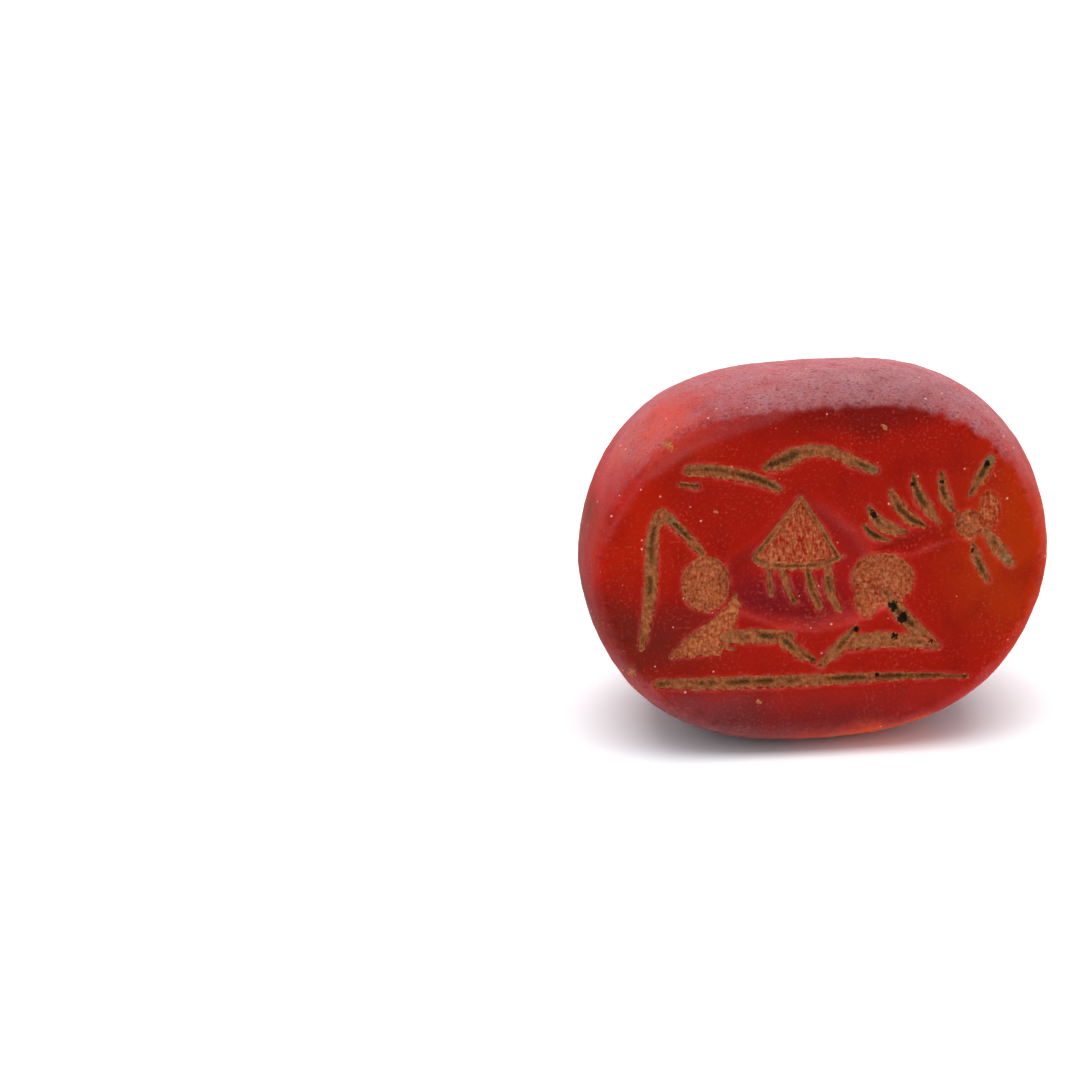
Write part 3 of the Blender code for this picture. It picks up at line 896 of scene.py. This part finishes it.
    def wear_body(self, points: np.ndarray, front: np.ndarray) -> None:
        """Give the sides and the back their hand-ground waves and pits."""
        body = ~front
        outward = points[body] - (0.0, 5.0, 0.0)
        outward /= np.linalg.norm(outward, axis=1)[:, None]
        waves = roughness_field(points[body], 4.5, 7.0, 2) * self.body_wave_depth
        grain = roughness_field(points[body], 0.7, 29.0, 4) * self.body_grain_depth
        fade = smooth_step(0.0, 1.2, points[body][:, 1])
        points[body] += outward * ((waves + grain) * fade)[:, None]
        scar = smooth_step(1.0, 0.25, self.scar_reach(points)) * body
        flakes = roughness_field(points[scar > 0.0], 0.5, 63.0)
        points[scar > 0.0, 0] += self.end_chip_depth * scar[scar > 0.0] * (0.8 + 0.7 * flakes)

    def scar_reach(self, points: np.ndarray) -> np.ndarray:
        """Return how far points lie from the chip's middle, as shares of its radius."""
        away = points - np.array(self.end_chip_centre)
        return np.linalg.norm(away * np.array((0.6, 1.0, 1.0)), axis=1) / self.end_chip_radius

    def break_back(self, points: np.ndarray, behind: np.ndarray) -> None:
        """Sink the broken mouth of the perforation into the back."""
        points[behind, 1] -= self.mouth.sink(points[behind][:, (0, 2)])

    def drill(self, stone: bpy.types.Object) -> None:
        """Drill the perforation from the stone's end into the broken mouth."""
        run = (self.bore_inner - self.bore_end).normalized()
        outer = self.bore_end - run * 2.0
        bore = bmesh.new()
        bmesh.ops.create_cone(
            bore,
            cap_ends=True,
            segments=40,
            radius1=self.bore_diameter / 2.0,
            radius2=self.bore_diameter / 2.0,
            depth=(self.bore_inner - outer).length,
        )
        turn = Vector((0.0, 0.0, 1.0)).rotation_difference(run).to_matrix().to_4x4()
        place = Matrix.Translation((self.bore_inner + outer) / 2.0)
        bmesh.ops.transform(bore, matrix=place @ turn, verts=bore.verts)
        cutter = new_object("bore", bore)
        boolean = stone.modifiers.new("drilling", "BOOLEAN")
        boolean.operation = "DIFFERENCE"
        boolean.solver = "EXACT"
        boolean.object = cutter
        graph = bpy.context.evaluated_depsgraph_get()
        drilled = bpy.data.meshes.new_from_object(stone.evaluated_get(graph))
        stone.modifiers.remove(boolean)
        spare = (stone.data, cutter.data)
        stone.data = drilled
        drilled.name = "seal_stone_engraved_mesh"
        bpy.data.objects.remove(cutter, do_unlink=True)
        for mesh in spare:
            bpy.data.meshes.remove(mesh)

    def mark(self, mesh: bpy.types.Mesh) -> None:
        """Write on the mesh where its finish changes and where painted light and shade lie, while it is
        still in its own frame.
        """
        points = vertex_places(mesh)
        where = points[:, (0, 2)]
        face_edge = self.face_edge(where)
        on_face = (points[:, 1] < self.marked_face_depth) & (face_edge > 0.0)
        carving = self.engraving.carve(where)
        behind = (points[:, 1] > self.marked_back_depth) & (np.hypot(*where.T) < self.marked_back_reach)
        marks = (
            ("cut_edge", on_face, carving.edge, FAR),
            ("own_edge", on_face, carving.own_edge, FAR),
            ("seam", on_face & (carving.edge < -self.lip_width), carving.seam, FAR),
            ("cut_middle", on_face, carving.middle, 0.0),
            ("cut_wear", on_face, carving.wear, 0.0),
            ("black_crumbs", on_face, self.crumbs(points, BLACK_CRUMBS), 0.0),
            ("loose_earth", True, self.crumbs(points, EARTH_CRUMBS), 0.0),
            # Frosted skin, with a painted sheen of the light above and a painted veil of the floor's
            # reflection
            ("frosting_and_sheen", True, self.frosting_and_sheen(points, face_edge), 0.0),
            # Painted highlight on the lips of the body's hollows and on the facet's ridge
            ("hollow_lip_highlight", on_face, self.hollow_lip_highlight(where), 0.0),
            ("grey_crumbs", on_face, self.crumbs(points, GREY_CRUMBS), 0.0),
            ("mouth_edge", behind, self.mouth.edge(where), FAR),
            # Painted shade in the broken pocket
            ("mouth_painted_shade", behind, self.mouth.painted_shade(where), 0.0),
            ("mouth_crust", behind, stroke_edge(where, self.mouth.crust)[0], FAR),
        )
        for name, there, values, elsewhere in marks:
            attribute = mesh.attributes.new(name, "FLOAT", "POINT")
            attribute.data.foreach_set("value", np.where(there, values, elsewhere).astype(np.float32))
        # The stone's colour, with its painted glow, highlight and shade
        tint = np.column_stack((self.clouds.tint(points, on_face * carving.hollow), np.ones(len(points))))
        attribute = mesh.attributes.new("stone_tint_and_painted_light", "FLOAT_COLOR", "POINT")
        attribute.data.foreach_set("color", tint.astype(np.float32).ravel())

    def face_edge(self, where: np.ndarray) -> np.ndarray:
        """Return how far places lie inside the edge of the face, in millimetres."""
        bearing = np.arctan2(where[:, 1], where[:, 0])
        return self.form.reach(bearing, *self.form.section(np.zeros(len(where)))) - np.hypot(*where.T)

    @staticmethod
    def crumbs(points: np.ndarray, table: tuple) -> np.ndarray:
        """Return how near each point is to a crumb of a table, from 0 to 1."""
        near = np.zeros(len(points))
        for *place, half_width in table:
            centre = place[0] if len(place) == 1 else (place[0], 0.2, place[1])
            reach = np.linalg.norm((points - np.array(centre)) * (1.0, 0.35, 1.0), axis=1)
            near = np.maximum(near, 1.0 - 0.5 * reach / half_width)
        return np.clip(near, 0.0, 1.0)

    @staticmethod
    def hollow_lip_highlight(where: np.ndarray) -> np.ndarray:
        """Return where a painted highlight lies on the worn lips of the body's hollows and on the facet's
        ridge, from 0 to 1.
        """
        along, up = where.T
        body = polygon_distance(where, BODY_HOLLOW)
        neck = polygon_distance(where, NECK_HOLLOW)
        catches_light = smooth_step(-2.5, 0.5, along) * smooth_step(3.4, 2.0, up)
        right = np.exp(-(((body + 0.18) / 0.32) ** 2)) * catches_light
        low = np.exp(-(((neck - 0.02) / 0.10) ** 2)) * smooth_step(1.2, 0.9, up) * (along > 3.0)
        under = np.exp(-(((body - 0.05) / 0.12) ** 2)) * smooth_step(-0.8, -1.6, up)
        ridge = np.exp(-((polygon_distance(where, POLISHED_FACET) / 0.14) ** 2))
        ridge = ridge * smooth_step(-3.5, -5.5, along) * smooth_step(1.0, 2.2, up)
        return np.clip(0.65 * right + 0.9 * (low + under) + 0.7 * ridge, 0.0, 1.0)

    def frosting_and_sheen(self, points: np.ndarray, face_edge: np.ndarray) -> np.ndarray:
        """Work out how frosted the ground and pitted skin is round the polished parts, together with a
        painted sheen of the light above and a painted veil of the floor's reflection.

        Args:
            points: places on the stone.
            face_edge: how far each lies inside the edge of the face.

        Returns:
            Frosting and painted sheen, from 0 to 1.
        """
        along, depth, up = points.T
        side = np.clip(up / 7.0, -1.0, 1.0)
        end = np.clip(np.abs(along) / 9.0, 0.0, 1.0)
        # The ground girdle, with a painted sheen of the light above: most above, less low down, at the left
        # and at the ends
        girdle = 0.30 + 0.66 * smooth_step(0.25, 0.90, side)
        girdle = girdle - 0.14 * smooth_step(0.7, 1.0, end) * (side < 0.7)
        below = smooth_step(-0.65, -0.95, side) * smooth_step(7.5, 4.5, depth)
        girdle = girdle * (1.0 - 0.75 * below) * (1.0 - 0.25 * smooth_step(-3.0, -8.0, along))
        # The lower side, with a painted veil of the floor's reflection: some at the left, none where the
        # light comes through
        low_left = 0.26 * smooth_step(-0.25, -0.7, side) * smooth_step(1.0, -6.0, along)
        glow = smooth_step(-6.9, -7.5, up) * smooth_step(0.5, 2.5, along)
        low_strip = 0.05 + 0.15 * smooth_step(-1.0, -6.0, along) + 0.12 * smooth_step(-6.5, -7.0, up)
        low_strip = (low_strip + 0.12 * smooth_step(0.1, 0.6, depth)) * (1.0 - 0.8 * glow)
        low_strip = low_strip * smooth_step(-4.9, -5.6, up)
        # The face is polished up to a ragged edge, and the worn facet a little less
        wobble = roughness_field(points, 0.5, 83.0) * 0.18
        face_share = smooth_step(0.32, 0.0, face_edge + wobble)
        facet = polygon_distance(points[:, (0, 2)], POLISHED_FACET)
        face_share = np.maximum(face_share, 0.26 * smooth_step(-0.35, 0.1, facet))
        face_share = np.where(depth < 1.2, face_share, 1.0)
        # The dome is polished too, and so is a clear spot at the upper left
        dome = smooth_step(6.4, 9.0, depth + 1.5 * wobble + 3.2 * end**4 * (side < 0.8))
        clear = np.linalg.norm((points - (-5.6, 1.8, 6.4)) / (3.2, 3.5, 1.8), axis=1)
        girdle = girdle * (1.0 - 0.5 * smooth_step(1.0, 0.2, clear + wobble))
        # Rough skin low on the back, with a painted veil of the floor's reflection, and on the scar at the
        # end
        low_back = 0.24 * smooth_step(-0.55, -0.85, side) * smooth_step(6.0, 8.5, depth)
        low_back = low_back + 0.6 * smooth_step(1.0, 0.55, self.scar_reach(points) + 1.2 * wobble)
        low_side = np.maximum(low_left * face_share, low_strip)
        return girdle * face_share * (1.0 - 0.80 * dome) + low_back + low_side

    @staticmethod
    def stand(mesh: bpy.types.Mesh) -> None:
        """Wear the small flat that the stone stands on."""
        points = vertex_places(mesh)
        points[:, 2] = np.maximum(points[:, 2], 0.0)
        mesh.vertices.foreach_set("co", points.ravel())


@dataclass
class FinishNodes:
    """A material's nodes, with what they read of the stone.

    Attributes:
        tree: the material's node tree.
        place: the place on the stone in its own frame, in millimetres.
        marks: the mesh's own marks by name.
    """

    tree: bpy.types.NodeTree
    place: Socket | None = None
    marks: dict[str, Socket] = field(default_factory=dict)

    def add(self, kind: str, *inputs: Input, output: int | str = 0, **settings: object) -> Socket:
        """Add a node with its settings and links.

        Args:
            kind: the node's type after "ShaderNode".
            inputs: its first inputs in order, where None leaves one as it is.
            output: which of its outputs is wanted.
            settings: further inputs and the node's own properties, by name.

        Returns:
            The wanted output.
        """
        node = self.tree.nodes.new(f"ShaderNode{kind}")
        named = {name: value for name, value in settings.items() if name in node.inputs}
        for name, value in settings.items():
            if name not in named:
                setattr(node, name, value)
        for name, value in (*enumerate(inputs), *named.items()):
            if isinstance(value, Socket):
                self.tree.links.new(value, node.inputs[name])
            elif value is not None:
                node.inputs[name].default_value = value
        return node.outputs[output]

    def grain(
        self,
        size: float,
        detail: float = 3.0,
        span: Place | None = None,
        levels: Place = (0.0, 1.0),
        stretch: Station | None = None,
    ) -> Socket:
        """Add a grain of a real size.

        Args:
            size: size of its bumps in millimetres.
            detail: how many finer layers it has.
            span: the part of the bumps' height that is spread over the levels, or None for all of it.
            levels: the results at the ends of the span.
            stretch: how much longer the bumps are along each axis.

        Returns:
            The grain's height at each place.
        """
        place = self.place
        if stretch:
            place = self.add("Mapping", place, Scale=tuple(1.0 / share for share in stretch))
        bumps = self.add("TexNoise", place, Scale=1.0 / size, Detail=detail)
        return self.add("MapRange", bumps, *span, *levels) if span else bumps

    def specks(self, spacing: float, radius: float, share: float) -> Socket:
        """Scatter round specks, of which only a share is there and which differ in size.

        Args:
            spacing: distance between neighbours in millimetres.
            radius: radius of the largest in millimetres.
            share: how many of them are there, from 0 to 1.

        Returns:
            1 on a speck and 0 beside it.
        """
        away = self.add("TexVoronoi", self.place, Scale=1.0 / spacing)
        chance = self.add("SeparateColor", away.node.outputs["Color"])
        size = self.add("MapRange", chance, 1.0 - share, 1.0, 0.0, radius / spacing)
        inside = self.add("Math", size, away, operation="SUBTRACT")
        return self.add("MapRange", inside, 0.0, 0.3 * radius / spacing)

    def ragged(self, mark: str) -> Socket:
        """Turn a mark of nearness to crumbs into crumbs with ragged edges."""
        near = self.marks[mark]
        crumb = self.add("Math", near, self.grain(0.13, 3.0, MIDDLE, (-0.28, 0.28)))
        return self.overlap(self.add("MapRange", crumb, 0.50, 0.58), self.add("MapRange", near, 0.02, 0.12))

    def overlap(self, cover: Input, *covers: Input) -> Input:
        """Multiply covers, so that the result lies where all of them do."""
        for other in covers:
            cover = self.add("Math", cover, other, operation="MULTIPLY")
        return cover

    def layered(self, colour: Socket | str, *layers: tuple) -> Socket:
        """Lay colours over one another.

        Args:
            colour: the lowest colour, as a socket or an sRGB hex code.
            layers: for each layer its colour, how strongly it covers, and where: one cover or more.

        Returns:
            The colour that is seen.
        """
        for over, strength, *covers in layers:
            under, over = (srgb(each) if isinstance(each, str) else each for each in (colour, over))
            share = self.overlap(strength, *covers)
            colour = self.add("Mix", share, *OTHER_MIX_INPUTS, under, over, output=2, data_type="RGBA")
        return colour


@dataclass(frozen=True)
class CarnelianFinish:
    """Carnelian: hand-ground and worn, polished on the face and frosted and pitted round it.

    Carnelian is a translucent chalcedony. Light runs some millimetres into it, so it glows red
    and has soft shadows, and its surface shines like wax rather than glass.
    """

    name: str = "worn_carnelian_with_earth"
    deep: str = "#780a04"
    # Colour of the frosted skin, with a painted sheen of the light in it
    frost_and_sheen: str = "#90676b"
    # Pale specks of dust and crystals, partly painted glints
    pale_specks_and_glints: str = "#e0b8a8"
    dark_pits: str = "#5c1c1c"
    # Painted highlight on the lips of the cuts and of the body's hollows
    painted_rim_highlight: str = "#b04440"
    dust: str = "#c05c48"
    earth_light: str = "#c47649"
    earth_mid: str = "#9e522e"
    earth_dark: str = "#4a3418"
    earth_red: str = "#942812"
    earth_olive: str = "#7a5a34"
    lime: str = "#987854"
    crumb: str = "#12150f"
    mouth_crust: str = "#74461e"
    mouth_tan: str = "#9a6c44"
    # Painted shade in the broken pocket, and a painted halo of shade round it
    mouth_painted_shade: str = "#22101a"
    mouth_shade_halo: str = "#5a0f16"
    ior: float = 1.54
    glow: float = 0.9
    light_depth: tuple[float, float, float] = (1.0, 0.25, 0.12)
    light_depth_scale: float = 3.0 * MM
    shine: float = 0.030
    face_roughness: float = 0.30
    frost_roughness: float = 1.0
    matt_frosting: float = 0.22
    earth_roughness: float = 0.90
    skin_relief: float = 0.06 * MM
    pit_depth: float = 0.05 * MM
    earth_relief: float = 0.12 * MM

    def dress(self, stone: bpy.types.Object, form: StoneForm) -> None:
        """Put the finish on the stone.

        Args:
            stone: the finished piece, with its marks.
            form: its body, whose frame the grain lies in.
        """
        material = bpy.data.materials.new(self.name)
        material.use_nodes = True
        nodes = FinishNodes(material.node_tree)
        spot = nodes.add("TexCoord", output="Object")
        placed = (form.face_centre * MM, (-form.lean, 0.0, 0.0), (MM, MM, MM))
        nodes.place = nodes.add("Mapping", spot, *placed, vector_type="TEXTURE")
        for mark in stone.data.attributes:
            if mark.data_type in MARK_OUTPUTS:
                output = MARK_OUTPUTS[mark.data_type]
                nodes.marks[mark.name] = nodes.add("Attribute", output=output, attribute_name=mark.name)
        earth = self.earth_cover(nodes)
        crust = nodes.add("Math", nodes.marks["mouth_crust"], nodes.grain(0.12, 3.0, MIDDLE, (-0.06, 0.06)))
        crust = nodes.add("MapRange", crust, 0.02, -0.04)
        matt = nodes.add("Math", earth, crust, operation="MAXIMUM")
        frosted = (0.0, self.matt_frosting, self.face_roughness, self.frost_roughness)
        skin = nodes.add("MapRange", nodes.marks["frosting_and_sheen"], *frosted)
        linked = {
            "Base Color": self.colour(nodes, earth, crust),
            "Roughness": nodes.add("MapRange", matt, 0.0, 1.0, skin, self.earth_roughness),
            "Subsurface Weight": nodes.add("MapRange", matt, 0.0, 1.0, self.glow, 0.0),
            "Normal": self.relief(nodes, earth),
        }
        constant = {
            "Subsurface Radius": self.light_depth,
            "Subsurface Scale": self.light_depth_scale,
            "IOR": self.ior,
            "Specular IOR Level": self.shine,
        }
        shader = nodes.tree.nodes["Principled BSDF"]
        for name, socket in linked.items():
            nodes.tree.links.new(socket, shader.inputs[name])
        for name, value in constant.items():
            shader.inputs[name].default_value = value
        stone.data.materials.clear()
        stone.data.materials.append(material)

    def colour(self, nodes: FinishNodes, earth: Socket, crust: Socket) -> Socket:
        """Build the whole colour: the stone, the earth in its cuts and the broken mouth in its back, with
        painted shade in and round the mouth.

        Args:
            nodes: the material's nodes.
            earth: where earth covers the stone.
            crust: where ochre crust covers the mouth's edges.

        Returns:
            The colour.
        """
        edge = nodes.add("Math", nodes.marks["mouth_edge"], nodes.grain(0.5, 3.0, MIDDLE, (-0.07, 0.07)))
        ochre = nodes.layered(self.mouth_crust, (self.mouth_tan, 1.0, nodes.grain(0.35, 4.0, (0.42, 0.60))))
        return nodes.layered(
            self.stone_colour(nodes),
            (self.earth_colour(nodes), 1.0, earth),
            # Painted shade round the mouth and in its pocket
            (self.mouth_shade_halo, 0.75, nodes.add("MapRange", edge, 1.3, 0.05)),
            (self.mouth_painted_shade, 0.94, nodes.marks["mouth_painted_shade"]),
            (ochre, 1.0, crust),
        )

    def stone_colour(self, nodes: FinishNodes) -> Socket:
        """Build the colour of the bare stone, with its frosted skin and painted sheen, dust, pits, specks
        and painted glints, and painted highlights on the lips of the cuts and hollows.

        Args:
            nodes: the material's nodes.

        Returns:
            The colour.
        """
        marks = nodes.marks
        # A band just beside the cuts, where the painted highlight on their lips lies
        beside = nodes.add("MapRange", marks["cut_edge"], 0.18, 0.06)
        outside = nodes.add("MapRange", marks["cut_edge"], 0.0, 0.03)
        frost_and_sheen = (nodes.grain(1.1, 3.0, MIDDLE, (0.62, 1.0)), nodes.grain(0.10, 3.0, MIDDLE, (0.55, 1.15)))
        dust = (nodes.grain(0.13, 4.0, (0.54, 0.70)), nodes.grain(2.2, 3.0, (0.40, 0.66), (0.25, 1.0)))
        return nodes.layered(
            # The stone's colour, with its painted glow, highlight and shade
            marks["stone_tint_and_painted_light"],
            (self.deep, 0.5, nodes.grain(1.6, 4.0, (0.50, 0.72))),
            # Painted highlight on the lips of the body's hollows and on the facet's ridge
            (self.painted_rim_highlight, 0.42, nodes.grain(0.7, 3.0, (0.3, 0.6), (0.35, 1.0)), marks["hollow_lip_highlight"]),
            # Frosted skin, with a painted sheen of the light above and a painted veil of the floor's
            # reflection
            (self.frost_and_sheen, 1.0, *frost_and_sheen, marks["frosting_and_sheen"]),
            # Painted highlight along the lips of the cuts
            (self.painted_rim_highlight, 0.45, beside, outside, nodes.grain(0.5, 3.0, (0.42, 0.66))),
            (self.dust, 0.34, *dust),
            (self.dark_pits, 0.65, self.pits(nodes), marks["frosting_and_sheen"]),
            (self.dark_pits, 0.5, nodes.specks(1.3, 0.07, 0.35)),
            # Pale specks of dust and crystals, partly painted glints
            (self.pale_specks_and_glints, 0.6, nodes.specks(0.42, 0.058, 0.55)),
            (self.pale_specks_and_glints, 0.5, nodes.specks(0.9, 0.07, 0.5)),
            (self.pale_specks_and_glints, 0.8, nodes.specks(1.5, 0.085, 0.35)),
        )

    @staticmethod
    def pits(nodes: FinishNodes) -> Socket:
        """Return where the ground skin has its fine pits, which lie a little lengthwise."""
        return nodes.grain(0.11, 4.0, (0.58, 0.66), stretch=(1.7, 1.0, 1.0))

    @staticmethod
    def earth_cover(nodes: FinishNodes) -> Socket:
        """Work out where earth covers the stone.

        Args:
            nodes: the material's nodes.

        Returns:
            1 on earth and 0 on bare stone, with a ragged edge.
        """
        marks = nodes.marks
        fine = nodes.grain(0.07, 3.0, MIDDLE, (-0.035, 0.035))
        edge = nodes.add("Math", marks["cut_edge"], fine)
        edge = nodes.add("Math", edge, nodes.grain(0.30, 2.0, MIDDLE, (-0.04, 0.04)))
        worn = nodes.overlap(marks["cut_wear"], nodes.grain(0.10, 4.0, stretch=(1.0, 1.0, 3.0)))
        cut = nodes.overlap(
            nodes.add("MapRange", edge, 0.01, -0.02),
            nodes.add("MapRange", worn, 0.42, 0.27),
            nodes.add("MapRange", nodes.add("Math", marks["seam"], fine), 0.02, 0.06, 0.25, 1.0),
        )
        return nodes.add("Math", cut, nodes.ragged("loose_earth"), operation="MAXIMUM")

    def earth_colour(self, nodes: FinishNodes) -> Socket:
        """Build the colour of the earth in the cuts.

        Args:
            nodes: the material's nodes.

        Returns:
            The colour.
        """
        marks = nodes.marks
        patches = nodes.grain(0.16, 4.0, (0.38, 0.62))
        brim = nodes.add("MapRange", marks["own_edge"], -0.12, -0.03)
        thick = nodes.add("MapRange", marks["cut_wear"], 0.35, 0.22)
        dark = nodes.overlap(marks["cut_middle"], nodes.grain(0.09, 4.0))
        return nodes.layered(
            self.earth_mid,
            (self.earth_light, 1.0, patches),
            (self.earth_light, 0.6, brim, patches),
            (self.earth_red, 0.7, nodes.grain(0.11, 3.0, (0.50, 0.66), stretch=(1.0, 1.0, 2.0))),
            (self.earth_olive, 0.42, nodes.grain(0.5, 3.0, (0.35, 0.60), (0.3, 1.0)), thick),
            (self.earth_dark, 0.9, nodes.add("MapRange", dark, 0.10, 0.36)),
            (self.earth_dark, 0.55, nodes.specks(0.16, 0.05, 0.30)),
            (self.lime, 0.75, nodes.ragged("grey_crumbs")),
            (self.crumb, 0.97, nodes.ragged("black_crumbs")),
        )

    def relief(self, nodes: FinishNodes, earth: Socket) -> Socket:
        """Build the fine relief: pits in the worn stone and grains in the earth.

        Args:
            nodes: the material's nodes.
            earth: where earth covers the stone.

        Returns:
            The surface's normal.
        """
        strength = nodes.add("MapRange", nodes.marks["frosting_and_sheen"], 0.0, 0.8, 0.12, 0.75)
        skin = nodes.add("Bump", strength, self.skin_relief, Height=nodes.grain(0.12, 4.0))
        pits = self.pits(nodes)
        pitted = nodes.add("Bump", strength, self.pit_depth, Height=pits, Normal=skin, invert=True)
        return nodes.add("Bump", earth, self.earth_relief, Height=nodes.grain(0.07, 4.0), Normal=pitted)


@dataclass(frozen=True)
class Studio:
    """A plain white floor under a large soft light, in metres."""

    floor_radius: float = 3.0
    floor_colour: str = "#f6f6f7"
    floor_roughness: float = 0.9
    light_size: float = 0.42
    light_height: float = 0.34
    light_radiance: float = 2.9
    sky_radiance: float = 0.82
    sky_colour: str = "#f8faff"

    def build(self) -> None:
        """Lay the floor and hang the light."""
        shape = bmesh.new()
        bmesh.ops.create_circle(shape, cap_ends=True, radius=self.floor_radius, segments=96)
        floor = new_object("studio_floor", shape)
        material = bpy.data.materials.new("matte_white_card")
        material.use_nodes = True
        shader = material.node_tree.nodes["Principled BSDF"]
        shader.inputs["Base Color"].default_value = srgb(self.floor_colour)
        shader.inputs["Roughness"].default_value = self.floor_roughness
        shader.inputs["Specular IOR Level"].default_value = 0.0
        floor.data.materials.append(material)

        lamp = bpy.data.lights.new("softbox", "AREA")
        lamp.shape = "SQUARE"
        lamp.size = self.light_size
        lamp.energy = self.light_radiance * math.pi * self.light_size**2
        softbox = bpy.data.objects.new("softbox", lamp)
        softbox.location = (0.0, 0.0, self.light_height)
        bpy.context.scene.collection.objects.link(softbox)

        world = bpy.data.worlds.new("soft_room")
        world.use_nodes = True
        background = world.node_tree.nodes["Background"]
        background.inputs["Color"].default_value = srgb(self.sky_colour)
        background.inputs["Strength"].default_value = self.sky_radiance
        bpy.context.scene.world = world
        bpy.context.scene.view_settings.view_transform = "Standard"


@dataclass(frozen=True)
class PhotoCamera:
    """The camera of the photograph, looking at the engraved face from above and a little left."""

    azimuth: float = -7.0
    elevation: float = 22.0
    distance: float = 0.250
    lens: float = 192.7
    sensor: float = 36.0
    turned_left: float = 2.629
    tipped_down: float = 0.097

    def place(self, low: Vector, high: Vector) -> None:
        """Set up the camera.

        Args:
            low: lowest corner of the object.
            high: highest corner of the object.
        """
        centre = (low + high) / 2.0
        turn, rise = math.radians(self.azimuth), math.radians(self.elevation)
        back = Vector((math.sin(turn) * math.cos(rise), -math.cos(turn) * math.cos(rise), math.sin(rise)))
        data = bpy.data.cameras.new("photo_camera")
        data.lens = self.lens
        data.sensor_width = self.sensor
        data.clip_start = 0.01
        data.clip_end = 20.0
        camera = bpy.data.objects.new("photo_camera", data)
        camera.location = centre + back * self.distance
        aside = Quaternion((0.0, 1.0, 0.0), math.radians(self.turned_left))
        down = Quaternion((1.0, 0.0, 0.0), -math.radians(self.tipped_down))
        camera.rotation_mode = "QUATERNION"
        camera.rotation_quaternion = (-back).to_track_quat("-Z", "Y") @ aside @ down
        bpy.context.scene.collection.objects.link(camera)
        bpy.context.scene.camera = camera


def main() -> None:
    """Build the seal and its studio."""
    logging.basicConfig(level=logging.INFO, format="%(message)s")
    seal = SealStone()
    stone = seal.build()
    CarnelianFinish().dress(stone, seal.form)
    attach(stone, "root")
    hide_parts("seal_stone")
    log.info("seal stone: %d vertices, %d faces", len(stone.data.vertices), len(stone.data.polygons))
    Studio().build()
    log.info("studio floor and light")
    PhotoCamera().place(*cad_box)
    log.info("camera")


if __name__ == "__main__":
    main()
